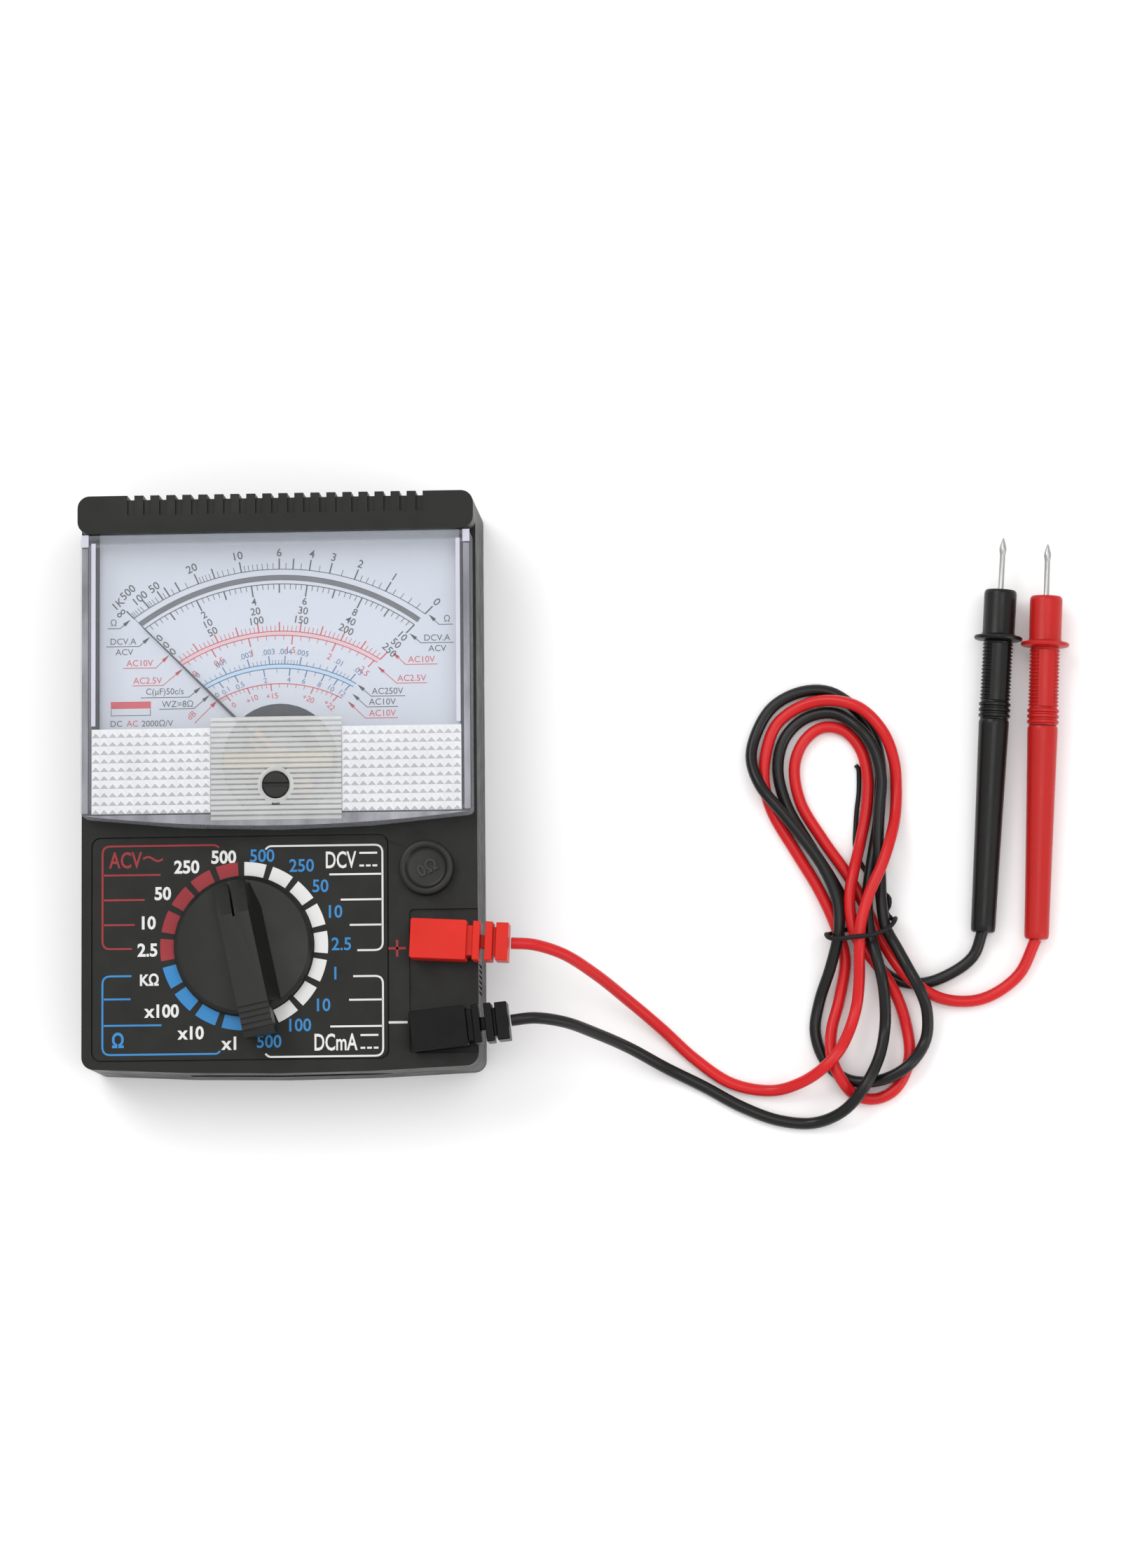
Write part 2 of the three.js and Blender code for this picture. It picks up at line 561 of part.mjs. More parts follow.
add("circuit_board", circuitBoard(), BOARD_GREEN);
[12.4, 15.8, 19.2, 22.6].forEach((x, i) => {
  add(`resistor_${i + 1}`, leaded(1.2, 6.4, 17.2), BEIGE, [x, -50 + 6 * (i % 2), 0]);
});
[12.4, 16].forEach((x, i) => {
  add(`diode_${i + 1}`, leaded(0.9, 4, 16.9), BLACK, [x, -17.5, 0]);
});
const fuse = new THREE.CylinderGeometry(2.6, 2.6, 20, 20);
fuse.translate(0, -33, 18.6);
add("fuse_tube", solid(fuse), GLASS, [-32, 0, 0]);
for (const [name, y] of [["lower", -40.5], ["upper", -25.5]]) {
  const clip = cut(
    box(-3.7, 3.7, -2, 2, BOARD.z + BOARD.thick + FIT, 20),
    box(-2.95, 2.95, -3, 3, 15.6, 21),
  );
  add(`fuse_clip_${name}`, clip, BRASS, [-32, y, 0]);
}
for (const [name, y] of [["positive", JACK.redY], ["negative", JACK.blackY]]) {
  add(`jack_${name}`, jackBarrel(), BRASS, [JACK.x, y, 0]);
}
add(
  "ohm_potentiometer",
  cut(post(0, 0, 6.6, BOARD.z + BOARD.thick + FIT, 19.6, 28), post(0, 0, 2.2, 16, 21, 20)),
  BLACK, [OHM_KNOB.x, OHM_KNOB.y, 0],
);

function ohmAdjustKnob() {
  const { radius, dish, z, topZ } = OHM_KNOB;
  const knob = turned([
    [0, 16.4], [2, 16.4], [2, z], [radius, z], [radius, topZ - 0.4], [radius - 0.4, topZ],
    [dish + 0.4, topZ], [dish, topZ - 0.7], [0, topZ - 0.7],
  ], 28);
  return join(knob, box(-2.6, 2.6, -0.5, 0.5, topZ - 1, topZ - 0.3));
}
add("ohm_adjust_knob", ohmAdjustKnob(), BLACK, [OHM_KNOB.x, OHM_KNOB.y, 0]);

// ---------------------------------------------------------------- cell
const cell = new THREE.Group();
cell.position.set(0, CELL.y, CELL.z);
cell.rotation.y = Math.PI / 2;
part.add(cell);
const half = CELL.length / 2;
add("cell", turned([
  [0, -half], [CELL.radius - 0.3, -half], [CELL.radius, -half + 0.3], [CELL.radius, half - 0.3],
  [CELL.radius - 0.3, half], [2.6, half], [2.6, half + 1.2], [0, half + 1.2],
], 28), WRAP, [0, 0, 0], 0, cell);
add("cell_contact", turned([[0, 0], [5.5, 0], [5.5, 0.4], [0, 0.4]], 24), STEEL, [0, 0, half + 1.6], 0, cell);
add("cell_spring", coil(5, 2.6, -half - 5.5, -half - 0.8, 4, 0.7), STEEL, [0, 0, 0], 0, cell);

// ---------------------------------------------------------------- plugs, local +X runs out along the cord
function plugBody() {
  const w = PLUG.width / 2;
  const [low, high] = [PLUG.z, PLUG.z + PLUG.height];
  const core = (x0, x1, inset) => box(x0, x1, -w + inset, w - inset, low + 0.4 * inset, high - inset);
  return cut(
    join(
      prism(plate(-4.7, 7.2, -w, w, 0.5), low, high),
      core(7.1, 8.6, 1), core(8.5, 10, 0.1),
      core(9.9, 11.2, 2.8), core(11.1, 12.7, 0.1),
      core(12.6, 13.5, 1.2), core(13.4, PLUG.end, 0.2),
    ),
    post(0, 0, JACK.pin - 0.4, low - 1, low + 3.5, 20),
  );
}

function plugPin() {
  return turned([
    [0, 15.6], [1.2, 15.6], [JACK.pin - 0.05, 16.6], [JACK.pin - 0.05, PLUG.z - FIT],
    [1.3, PLUG.z - FIT], [1.3, PLUG.z + 3.2], [0, PLUG.z + 3.2],
  ], 24);
}

for (const [name, y, turn, material] of [
  ["red", JACK.redY, PLUG.redTurn, RED],
  ["black", JACK.blackY, PLUG.blackTurn, BLACK],
]) {
  add(`plug_${name}_body`, plugBody(), material, [JACK.x, y, 0], turn);
  add(`plug_${name}_pin`, plugPin(), STEEL, [JACK.x, y, 0], turn);
}

// ---------------------------------------------------------------- leads
// The cords' routes, from the plug to the probe. They lie on the table at cord radius, and where one
// passes over another it rides one cord higher.
const RED_ROUTE = [
  [49.4, -34.8, 27], [54, -35.1, 26.7], [60, -36.8, 23], [66.5, -40.6, 15.4], [73, -45.6, 7.6],
  [80, -51.5, 2.7], [87, -58, 1.4], [95, -63.4, 1.4], [103.5, -65, 1.6], [109.5, -63.6, 4],
  [114.4, -60.8, 7.2], [118, -57, 7.3], [120.3, -52.4, 5.2], [121.9, -47, 4.5], [122.5, -41.5, 6],
  [122.6, -36, 8], [123, -30, 8.3], [124.9, -23.5, 7.9], [127.6, -17.5, 7.4], [129.4, -12.2, 6.2],
  [130.6, -6.8, 3], [131, -0.5, 1.7], [130.6, 5.6, 2.9], [128.7, 11.6, 4.6], [123.8, 17.2, 5],
  [117.2, 19.5, 3], [111, 18.5, 1.4], [105.6, 14.4, 1.4], [103.2, 8.4, 1.4], [102.6, 1.5, 1.4],
  [104.3, -5, 1.4], [109.2, -13.6, 1.4], [114.1, -22, 2.1], [117.6, -30, 2.9], [119.5, -37, 2.3],
  [118.2, -45.5, 1.9], [116.4, -52.5, 3.2], [116.4, -58.2, 4.7], [118.4, -63, 4.6],
  [121.4, -66.3, 2.4], [125.6, -67, 1.4], [129.8, -65, 1.4], [132.9, -58.6, 1.4], [132.2, -50.5, 1.6],
  [129.6, -43.5, 4], [125.9, -38, 4.8], [122.2, -33, 5.4], [120.8, -28, 5.5], [120.8, -22.6, 5.1],
  [121.8, -17.6, 4.2], [123.2, -11.4, 1.8], [124.6, -4, 1.4], [124.8, 3, 1.4], [123.2, 8.8, 1.4],
  [119.8, 12.5, 1.4], [115.4, 13.2, 1.4], [111.4, 10.4, 1.4], [109.2, 5, 1.4], [110.3, -2.8, 1.4],
  [115.1, -11.2, 1.4], [120.5, -19.2, 1.9], [124.7, -27.2, 2.6], [127.9, -34, 2.7], [133, -41.3, 4.7],
  [140, -45.7, 2.2], [148.5, -45.9, 1.4], [156.4, -41, 1.8], [160.4, -33.2, 2.6],
];
const BLACK_ROUTE = [
  [49.3, -51.1, 27], [54, -50.6, 26.7], [60, -51.2, 23], [66.5, -53.2, 15.4], [73.5, -56, 7.6],
  [81, -60, 2.7], [89, -64, 1.4], [97, -68.4, 1.4], [105, -71.4, 1.4], [112.5, -72, 1.6],
  [119, -69.5, 4.6], [123.6, -64.2, 6.3], [126.6, -58, 4.6], [127.8, -52, 3.4], [127.9, -46.6, 5.4],
  [127.4, -41.8, 7.5], [126.2, -36.8, 7.6], [124.9, -31.6, 6.2], [124.4, -26.5, 5.4],
  [124.9, -20, 3], [126, -13.5, 1.4], [127.1, -7, 1.4], [127.6, -0.5, 1.4], [127.5, 6, 1.4],
  [126, 12, 1.4], [122.6, 17.8, 1.4], [117.2, 22.4, 1.4], [110.5, 22, 1.4], [104, 18.4, 1.4],
  [100.4, 12, 1.4], [99.9, 6.5, 2.4], [101.8, 0.5, 4.3], [106.6, -5.6, 4.3], [110.6, -10.7, 4.3],
  [115.2, -17.5, 4.6], [118, -24.5, 5.2], [118.3, -31, 5.5], [116.4, -38.8, 3.8], [113.9, -46, 1.6],
  [112.9, -52.5, 1.4], [115, -58.8, 1.4], [119.6, -62.8, 1.6], [126.2, -63.2, 2.8],
  [132.4, -60.4, 4.3], [136.4, -54.8, 2.8], [136.9, -49, 4.4], [135.6, -44.6, 6.9], [133.2, -40, 7.5],
  [130.8, -35.4, 6.3], [128.3, -30.5, 5.4], [127.5, -25, 5], [127.3, -18.5, 4.3], [127, -11, 4.2],
  [127.3, -5, 4.2], [127.8, 1.5, 4.2], [126.4, 8, 4.2], [123, 12.8, 4.2], [117.6, 16.2, 2.2],
  [111.6, 15.2, 1.4], [107.2, 11, 1.4], [105.6, 4.5, 1.4], [107.3, -3.4, 1.4], [112, -11.9, 1.4],
  [117, -20, 1.9], [121.3, -28.7, 2.6], [124.6, -35.6, 2.1], [129, -40.8, 1.4], [135.5, -42.4, 1.4],
  [142.3, -40.2, 1.6], [147, -36.6, 2], [149, -31.3, 2.6],
];
add("cord_red", bar(RED_ROUTE, CORD.diameter, CORD.steps, CORD.sides), RED);
add("cord_black", bar(BLACK_ROUTE, CORD.diameter, CORD.steps, CORD.sides), BLACK);

// The wire tie: a loose end in the upper loop, one turn around the bundle and a short end on top.
const TIE = { wire: 1, middle: [123, -30.2, 5.35], reach: [8, 0, 4.75], lean: 1.4 };
function tieRoute() {
  const points = [
    [121.9, 5, 0.7], [121.1, -1, 0.7], [120.3, -7, 0.7], [119.4, -12, 2.4], [118.9, -17, 6.4],
    [119.6, -22, 8.5], [119.8, -26, 9.7],
  ];
  for (let degrees = 110; degrees <= 470; degrees += 20) {
    const angle = THREE.MathUtils.degToRad(degrees);
    const [c, s] = [Math.cos(angle), Math.sin(angle)];
    const round = (v) => Math.sign(v) * Math.abs(v) ** 0.6;
    points.push([
      TIE.middle[0] + TIE.reach[0] * round(c),
      TIE.middle[1] + TIE.lean * c - (degrees - 110) / 180,
      TIE.middle[2] + TIE.reach[2] * round(s),
    ]);
  }
  return points;
}
add("cord_tie", bar(tieRoute(), TIE.wire, 52, 5), BLACK);

// ---------------------------------------------------------------- probes, built along local +Z from the tail
function probeSleeve() {
  return turned([
    [0, 0], [PROBE.tail, 0], [PROBE.tail, 0.4], [PROBE.sleeve, 44.8], [PROBE.sleeve - 0.3, 45], [0, 45],
  ], 24);
}

function probeGrip() {
  return turned([
    [0, 45.3], [PROBE.grip, 45.3], [PROBE.grip, 62], [PROBE.guard, 62.2], [PROBE.guard, 63.2],
    [PROBE.collar, 63.6], [PROBE.collar, 73.2], [PROBE.collar - 0.4, 73.6], [1.2, 73.6], [1.2, 66], [0, 66],
  ], 20);
}

function probeTip() {
  const r = PROBE.needle;
  return turned([
    [0, 66.3], [0.9, 66.3], [0.9, 73.2], [r, 73.9], [r, 81.2], [r + 0.28, 82], [r + 0.25, 82.8], [0.08, 84.6],
    [0, 84.6],
  ], 16);
}

for (const [name, tail, lean, material] of [
  ["red", [160.5, -32.6, 2.7], 2.6, RED],
  ["black", [149.1, -30.7, 2.7], 3.9, BLACK],
]) {
  const probe = new THREE.Group();
  probe.position.set(...tail);
  // lying down, leaning to the right of +Y, with the guard holding the front up
  const rise = Math.asin((PROBE.guard - PROBE.tail) / 63);
  probe.rotation.order = "ZXY";
  probe.rotation.z = THREE.MathUtils.degToRad(-lean);
  probe.rotation.x = -Math.PI / 2 + rise;
  part.add(probe);
  add(`probe_${name}_sleeve`, probeSleeve(), material, [0, 0, 0], 0, probe);
  add(`probe_${name}_grip`, probeGrip(), material, [0, 0, 0], 0, probe);
  add(`probe_${name}_tip`, probeTip(), STEEL, [0, 0, 0], 0, probe);
}

export default part;
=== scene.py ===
"""A pocket analogue multimeter with two test leads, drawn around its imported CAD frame."""
import json
import math

import bmesh
import bpy
from mathutils import Matrix, Vector

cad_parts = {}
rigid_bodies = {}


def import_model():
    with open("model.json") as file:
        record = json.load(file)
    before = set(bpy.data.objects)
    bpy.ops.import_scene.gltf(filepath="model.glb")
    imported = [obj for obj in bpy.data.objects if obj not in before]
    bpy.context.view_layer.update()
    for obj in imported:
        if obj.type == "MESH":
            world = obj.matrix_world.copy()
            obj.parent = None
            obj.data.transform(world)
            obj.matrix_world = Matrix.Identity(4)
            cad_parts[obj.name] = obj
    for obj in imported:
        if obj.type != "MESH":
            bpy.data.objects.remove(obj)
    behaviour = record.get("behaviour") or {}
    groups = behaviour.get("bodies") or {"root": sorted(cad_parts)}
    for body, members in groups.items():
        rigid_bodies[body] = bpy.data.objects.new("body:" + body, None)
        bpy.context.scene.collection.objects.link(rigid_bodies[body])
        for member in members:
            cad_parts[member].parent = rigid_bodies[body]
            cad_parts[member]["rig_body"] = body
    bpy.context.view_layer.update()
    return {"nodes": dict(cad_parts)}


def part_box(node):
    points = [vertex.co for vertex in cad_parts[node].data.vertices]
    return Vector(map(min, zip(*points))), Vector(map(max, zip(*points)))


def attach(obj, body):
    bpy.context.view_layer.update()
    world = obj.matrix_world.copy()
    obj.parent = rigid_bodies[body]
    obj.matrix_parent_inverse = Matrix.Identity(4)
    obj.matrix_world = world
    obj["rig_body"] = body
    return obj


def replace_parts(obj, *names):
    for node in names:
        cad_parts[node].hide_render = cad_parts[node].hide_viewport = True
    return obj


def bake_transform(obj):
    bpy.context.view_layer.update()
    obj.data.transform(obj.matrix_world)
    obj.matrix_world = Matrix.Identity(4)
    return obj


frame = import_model()
nodes = frame["nodes"]
scene = bpy.context.scene
MM = 0.001  # lengths are written in millimetres, and the scene is in metres


def box_centre(node):
    """The middle of a CAD node seen from above, in millimetres."""
    low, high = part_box(node)
    return Vector(((low.x + high.x) / 2 / MM, (low.y + high.y) / 2 / MM))


def box_top(node):
    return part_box(node)[1].z / MM


# ---------------------------------------------------------------- camera and light
def aim(obj, target):
    obj.rotation_euler = (Vector(target) - obj.location).to_track_quat("-Z", "Y").to_euler()


def soft_box(name, place, target, size, power):
    light = bpy.data.lights.new(name, "AREA")
    light.shape = "RECTANGLE"
    light.size, light.size_y = size
    light.energy = power
    obj = bpy.data.objects.new(name, light)
    obj.location = place
    aim(obj, target)
    obj.visible_camera = False
    scene.collection.objects.link(obj)


camera = bpy.data.objects.new("camera", bpy.data.cameras.new("camera"))
camera.location = (0.1291, -0.1388, 1.2206)
camera.rotation_euler = [math.radians(a) for a in (6.54, 3.36, -0.46)]
camera.data.sensor_width = 36
camera.data.lens = 130.7
camera.data.clip_start = 0.05
camera.data.clip_end = 20
scene.collection.objects.link(camera)
scene.camera = camera
scene.view_settings.view_transform = "Standard"

world = bpy.data.worlds.new("studio")
world.use_nodes = True
background = world.node_tree.nodes["Background"]
background.inputs["Color"].default_value = (1, 1, 1, 1)
background.inputs["Strength"].default_value = 0.88
scene.world = world
soft_box("key_light", (-0.55, 0.75, 1.25), (0.05, 0, 0), (0.8, 0.8), 7.5)
soft_box("top_light", (0.35, 0.15, 1.5), (0.06, 0, 0), (0.5, 1.1), 4.5)
soft_box("side_light", (1.1, -0.45, 0.55), (0.06, 0, 0), (0.5, 0.9), 3)


# ---------------------------------------------------------------- materials
GRAIN_DEPTH = 0.00004  # metres
ACRYLIC_IOR = 1.49


def tree(material):
    material.use_nodes = True
    made = material.node_tree
    return made, made.nodes["Principled BSDF"]


def add_node(made, kind, **inputs):
    node = made.nodes.new(kind)
    for key, value in inputs.items():
        node.inputs[key.replace("_", " ")].default_value = value
    return node


def pattern(made, scale, detail=2.0, stretch=(1, 1, 1)):
    """A noise over the piece's own place in the frame; scale counts its features per metre."""
    place = made.nodes.new("ShaderNodeTexCoord")
    mapping = made.nodes.new("ShaderNodeMapping")
    mapping.inputs["Scale"].default_value = stretch
    made.links.new(place.outputs["Object"], mapping.inputs["Vector"])
    noise = add_node(made, "ShaderNodeTexNoise", Scale=scale, Detail=detail)
    made.links.new(mapping.outputs["Vector"], noise.inputs["Vector"])
    return noise.outputs["Fac"]


def spread(made, value, low, high):
    """Maps a noise, which lies mostly from 0.3 to 0.7, onto low to high."""
    node = add_node(made, "ShaderNodeMapRange")
    for name, number in (("From Min", 0.3), ("From Max", 0.7), ("To Min", low), ("To Max", high)):
        node.inputs[name].default_value = number
    made.links.new(value, node.inputs["Value"])
    return node.outputs["Result"]


def blend_colors(made, shader, noise, first, second):
    """Base colour between two colours, by a noise."""
    mix = add_node(made, "ShaderNodeMix")
    mix.data_type = "RGBA"
    mix.inputs[6].default_value = [*first, 1]
    mix.inputs[7].default_value = [*second, 1]
    made.links.new(spread(made, noise, 0, 1), mix.inputs[0])
    made.links.new(mix.outputs[2], shader.inputs["Base Color"])


def surface(name, color, rough, vary=0.12, blotch=90, grain=2600, bump=0.25, stretch=(1, 1, 1), **sockets):
    """Moulded or drawn material: blotchy colour, uneven gloss and a fine grain."""
    material = bpy.data.materials.new(name)
    made, shader = tree(material)
    darker, lighter = [c * (1 - vary) for c in color], [min(1, c * (1 + vary)) for c in color]
    blend_colors(made, shader, pattern(made, blotch, 4), darker, lighter)
    gloss = pattern(made, blotch * 2.3, 3, stretch)
    made.links.new(spread(made, gloss, rough * 0.85, min(1, rough * 1.15)), shader.inputs["Roughness"])
    if bump:
        relief = add_node(made, "ShaderNodeBump", Strength=bump, Distance=GRAIN_DEPTH)
        made.links.new(pattern(made, grain, 2, stretch), relief.inputs["Height"])
        made.links.new(relief.outputs["Normal"], shader.inputs["Normal"])
    for key, value in sockets.items():
        shader.inputs[key.replace("_", " ")].default_value = value
    return material


def clear_plastic(name, color, alpha, edge, rough=0.08, cloud=0.07):
    """Clear plastic: see-through face on, more visible at its edges, with faint moulding flow."""
    material = bpy.data.materials.new(name)
    made, shader = tree(material)
    shader.inputs["Base Color"].default_value = (*color, 1)
    flow = pattern(made, 260, 3, (1, 0.35, 1))
    blend_colors(made, shader, flow, [c * (1 - cloud) for c in color], color)
    made.links.new(spread(made, pattern(made, 140, 2), rough * 0.8, rough * 1.4), shader.inputs["Roughness"])
    shader.inputs["IOR"].default_value = ACRYLIC_IOR
    facing = add_node(made, "ShaderNodeLayerWeight", Blend=0.35)
    reach = add_node(made, "ShaderNodeMapRange")
    reach.inputs["To Min"].default_value = alpha
    reach.inputs["To Max"].default_value = edge
    made.links.new(facing.outputs["Facing"], reach.inputs["Value"])
    made.links.new(reach.outputs["Result"], shader.inputs["Alpha"])
    return material


DULL = {"Specular_IOR_Level": 0.2}
SATIN = {"Specular_IOR_Level": 0.26}
M = {
    "case": surface("case_black", (0.0095, 0.0095, 0.0086), 0.42, grain=3200, bump=0.35, **DULL),
    "panel": surface("panel_black", (0.0115, 0.0115, 0.0105), 0.5, grain=5000, bump=0.2, **DULL),
    "knob": surface("knob_black", (0.0105, 0.0105, 0.0095), 0.36, grain=3600, bump=0.25, **SATIN),
    "dial": surface("dial_face", (0.56, 0.60, 0.67), 0.55, vary=0.015, blotch=25, grain=4200, bump=0.06),
    "needle": surface("needle_black", (0.012, 0.012, 0.014), 0.4, **DULL),
    # Lighter than the knob's black, for the knob's raised 0Ω mark: a painted highlight on its relief.
    "mark": surface("knob_mark_painted_highlight", (0.024, 0.024, 0.022), 0.34, **SATIN),
    "cover": surface("movement_cover", (0.006, 0.006, 0.006), 0.45, **DULL),
    "white": surface("rotor_white", (0.72, 0.71, 0.66), 0.5, vary=0.04),
    "brass": surface("brass", (0.70, 0.48, 0.17), 0.32, grain=900, stretch=(1, 9, 1), Metallic=1.0),
    "steel": surface("steel", (0.40, 0.40, 0.39), 0.34, 0.06, grain=900, stretch=(1, 1, 14), Metallic=1.0),
    "iron": surface("iron", (0.22, 0.22, 0.23), 0.45, vary=0.2, grain=1500, Metallic=1.0),
    "copper": surface(
        "coil_copper", (0.62, 0.27, 0.12), 0.38, grain=9000, stretch=(0.1, 0.1, 1), Metallic=0.8,
    ),
    "board": surface("board", (0.035, 0.16, 0.07), 0.38, vary=0.2, grain=1800),
    "resistor": surface("resistor", (0.60, 0.45, 0.27), 0.5),
    "diode": surface("diode", (0.03, 0.028, 0.028), 0.3),
    "glass": clear_plastic("glass", (0.9, 0.95, 0.95), 0.25, 0.8, 0.05),
    "wrap": surface("cell_wrap", (0.03, 0.09, 0.30), 0.3, vary=0.08, grain=700),
    "red_plug": surface("plug_red", (0.55, 0.013, 0.005), 0.40, vary=0.05, bump=0.2, **DULL),
    "black_plug": surface("plug_black", (0.0025, 0.0025, 0.0025), 0.38, Specular_IOR_Level=0.12),
    "red_cord": surface("cord_red", (0.54, 0.010, 0.012), 0.30, 0.07, 60, 1400, bump=0.1, **SATIN),
    "black_cord": surface("cord_black", (0.008, 0.008, 0.008), 0.30, 0.12, 60, 1400, bump=0.1, **SATIN),
    "tie": surface("tie", (0.008, 0.008, 0.008), 0.5, grain=2200, bump=0.5, **DULL),
    "red_probe": surface("probe_red", (0.42, 0.010, 0.008), 0.34, vary=0.05, bump=0.15, **SATIN),
    "black_probe": surface("probe_black", (0.0045, 0.0045, 0.0042), 0.32, bump=0.2, **SATIN),
    "clear": clear_plastic("clear", (0.84, 0.86, 0.93), 0.06, 0.40),
    "clear_side": clear_plastic("clear_side", (0.40, 0.40, 0.45), 0.62, 0.8, 0.12, 0.45),
    "clear_tab": clear_plastic("clear_tab", (0.60, 0.59, 0.69), 0.85, 0.9, 0.12),
    "prism_light": clear_plastic("prism_light", (0.80, 0.81, 0.83), 0.74, 0.9, 0.12),
    # A darker copy of the prism plastic for each pyramid's lower face: painted shade.
    "prism_painted_shade": clear_plastic("prism_painted_shade", (0.50, 0.51, 0.53), 0.55, 0.8, 0.1),
    "rib_light": clear_plastic("rib_light", (0.70, 0.71, 0.70), 0.50, 0.85, 0.12),
    # A darker copy of the rib plastic for the ribs' sloping flanks: painted shade.
    "rib_painted_shade": clear_plastic("rib_painted_shade", (0.56, 0.57, 0.56), 0.46, 0.8, 0.1),
    "ink_black": surface("ink_black", (0.020, 0.020, 0.026), 0.55, bump=0),
    "ink_grey": surface("ink_grey", (0.075, 0.082, 0.095), 0.5, bump=0),
    "ink_red": surface("ink_red", (0.55, 0.025, 0.035), 0.55, vary=0.06, bump=0),
    "ink_pink": surface("ink_pink", (0.66, 0.46, 0.50), 0.55, vary=0.03, bump=0),
    "ink_blue": surface("ink_blue", (0.035, 0.12, 0.28), 0.55, vary=0.06, bump=0),
    "ink_sky": surface("ink_sky", (0.42, 0.58, 0.72), 0.55, vary=0.03, bump=0),
    "panel_white": surface("panel_white", (0.63, 0.63, 0.62), 0.5, vary=0.03, bump=0),
    "panel_red": surface("panel_red", (0.27, 0.024, 0.030), 0.5, vary=0.08, bump=0, **SATIN),
    "panel_blue": surface("panel_blue", (0.030, 0.20, 0.46), 0.5, vary=0.06, bump=0, **SATIN),
}


# ---------------------------------------------------------------- mesh helpers
def piece(name, bm, material, body="meter", sharp=35):
    """Makes a bmesh in millimetres into a piece, which rides on a body unless body is None."""
    bmesh.ops.scale(bm, vec=(MM, MM, MM), verts=bm.verts)
    mesh = bpy.data.meshes.new(name)
    bm.to_mesh(mesh)
    bm.free()
    for one in material if isinstance(material, list) else [material]:
        mesh.materials.append(M[one])
    mesh.shade_smooth()
    mesh.set_sharp_from_angle(angle=math.radians(sharp))
    obj = bpy.data.objects.new(name, mesh)
    scene.collection.objects.link(obj)
    if body:
        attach(obj, body)
    return obj


def sweep(points, radius, sides):
    """A closed round tube along the points, with rings that don't twist."""
    bm = bmesh.new()
    rings = []
    normal = None
    for i, point in enumerate(points):
        ahead = (points[min(i + 1, len(points) - 1)] - points[max(i - 1, 0)]).normalized()
        if normal is None:
            normal = ahead.orthogonal().normalized()
        normal = (normal - ahead * normal.dot(ahead)).normalized()
        side = ahead.cross(normal)
        ring = []
        for k in range(sides):
            angle = 2 * math.pi * k / sides
            offset = normal * math.cos(angle) + side * math.sin(angle)
            ring.append(bm.verts.new(point + offset * radius))
        rings.append(ring)
    for a, b in zip(rings, rings[1:]):
        for k in range(sides):
            j = (k + 1) % sides
            bm.faces.new((a[k], a[j], b[j], b[k]))
    bm.faces.new(rings[0][::-1])
    bm.faces.new(rings[-1])
    return bm


def round_point(radius, turn, z):
    return Vector((radius * math.cos(turn), radius * math.sin(turn), z))


def lathe(profile, sides=48, place=Matrix.Identity(4)):
    """A turned body about +Z from [radius, z] pairs, up the outside, closed on the axis."""
    bm = bmesh.new()
    rings = []
    for radius, z in profile:
        if radius == 0:
            rings.append([bm.verts.new(place @ Vector((0, 0, z)))] * sides)
            continue
        ring = [round_point(radius, 2 * math.pi * k / sides, z) for k in range(sides)]
        rings.append([bm.verts.new(place @ point) for point in ring])
    for a, b in zip(rings, rings[1:]):
        for k in range(sides):
            j = (k + 1) % sides
            corners = list(dict.fromkeys((a[k], a[j], b[j], b[k])))
            if len(corners) > 2:
                bm.faces.new(corners)
    return bm


ROUND_ABOVE = math.radians(28)  # edges of a CAD node that turn further than this are rounded


def refine(node, material, width=0.2, rim=None):
    """A smooth-shaded copy of a CAD node with rounded edges; rim(edge, middle) may set one's radius."""
    bm = bmesh.new()
    bm.from_mesh(nodes[node].data)
    bmesh.ops.scale(bm, vec=(1 / MM, 1 / MM, 1 / MM), verts=bm.verts)
    bmesh.ops.remove_doubles(bm, verts=bm.verts, dist=0.002)
    bmesh.ops.dissolve_limit(bm, angle_limit=math.radians(1.5), verts=bm.verts, edges=bm.edges)
    layer = bm.edges.layers.float.new("bevel_weight_edge")
    widest = width
    radii = {}
    for edge in bm.edges:
        if len(edge.link_faces) != 2 or edge.calc_face_angle(0) < ROUND_ABOVE:
            continue
        middle = (edge.verts[0].co + edge.verts[1].co) / 2
        radii[edge] = (rim(edge, middle) if rim else None) or width
        widest = max(widest, radii[edge])
    for edge, radius in radii.items():
        edge[layer] = radius / widest
    obj = piece(node + "_finished", bm, material, nodes[node]["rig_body"])
    bevel = obj.modifiers.new("edges", "BEVEL")
    bevel.limit_method = "WEIGHT"
    bevel.width = widest * MM
    bevel.segments = 3
    bevel.harden_normals = True
    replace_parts(obj, node)


def paint(node, material):
    """Gives a CAD node that stays its own material."""
    obj = nodes[node]
    if not obj.material_slots:
        obj.data.materials.append(M[material])
    for held in obj.material_slots:
        held.link = "OBJECT"
        held.material = M[material]


# ---------------------------------------------------------------- leads and their tie
def catmull_rom(points, steps):
    """The centripetal curve through the points, steps pieces to each span."""
    points = [Vector(p) for p in points]
    points = [2 * points[0] - points[1], *points, 2 * points[-1] - points[-2]]
    curve = []
    for p0, p1, p2, p3 in zip(points, points[1:], points[2:], points[3:]):
        d0, d1, d2 = [max((b - a).length ** 0.5, 1e-4) for a, b in ((p0, p1), (p1, p2), (p2, p3))]
        start = ((p1 - p0) / d0 - (p2 - p0) / (d0 + d1) + (p2 - p1) / d1) * d1
        stop = ((p2 - p1) / d1 - (p3 - p1) / (d1 + d2) + (p3 - p2) / d2) * d1
        for i in range(steps):
            t = i / steps
            curve.append(
                p1 + start * t + (3 * (p2 - p1) - 2 * start - stop) * t * t
                + (2 * (p1 - p2) + start + stop) * t ** 3
            )
    return [*curve, points[-2]]


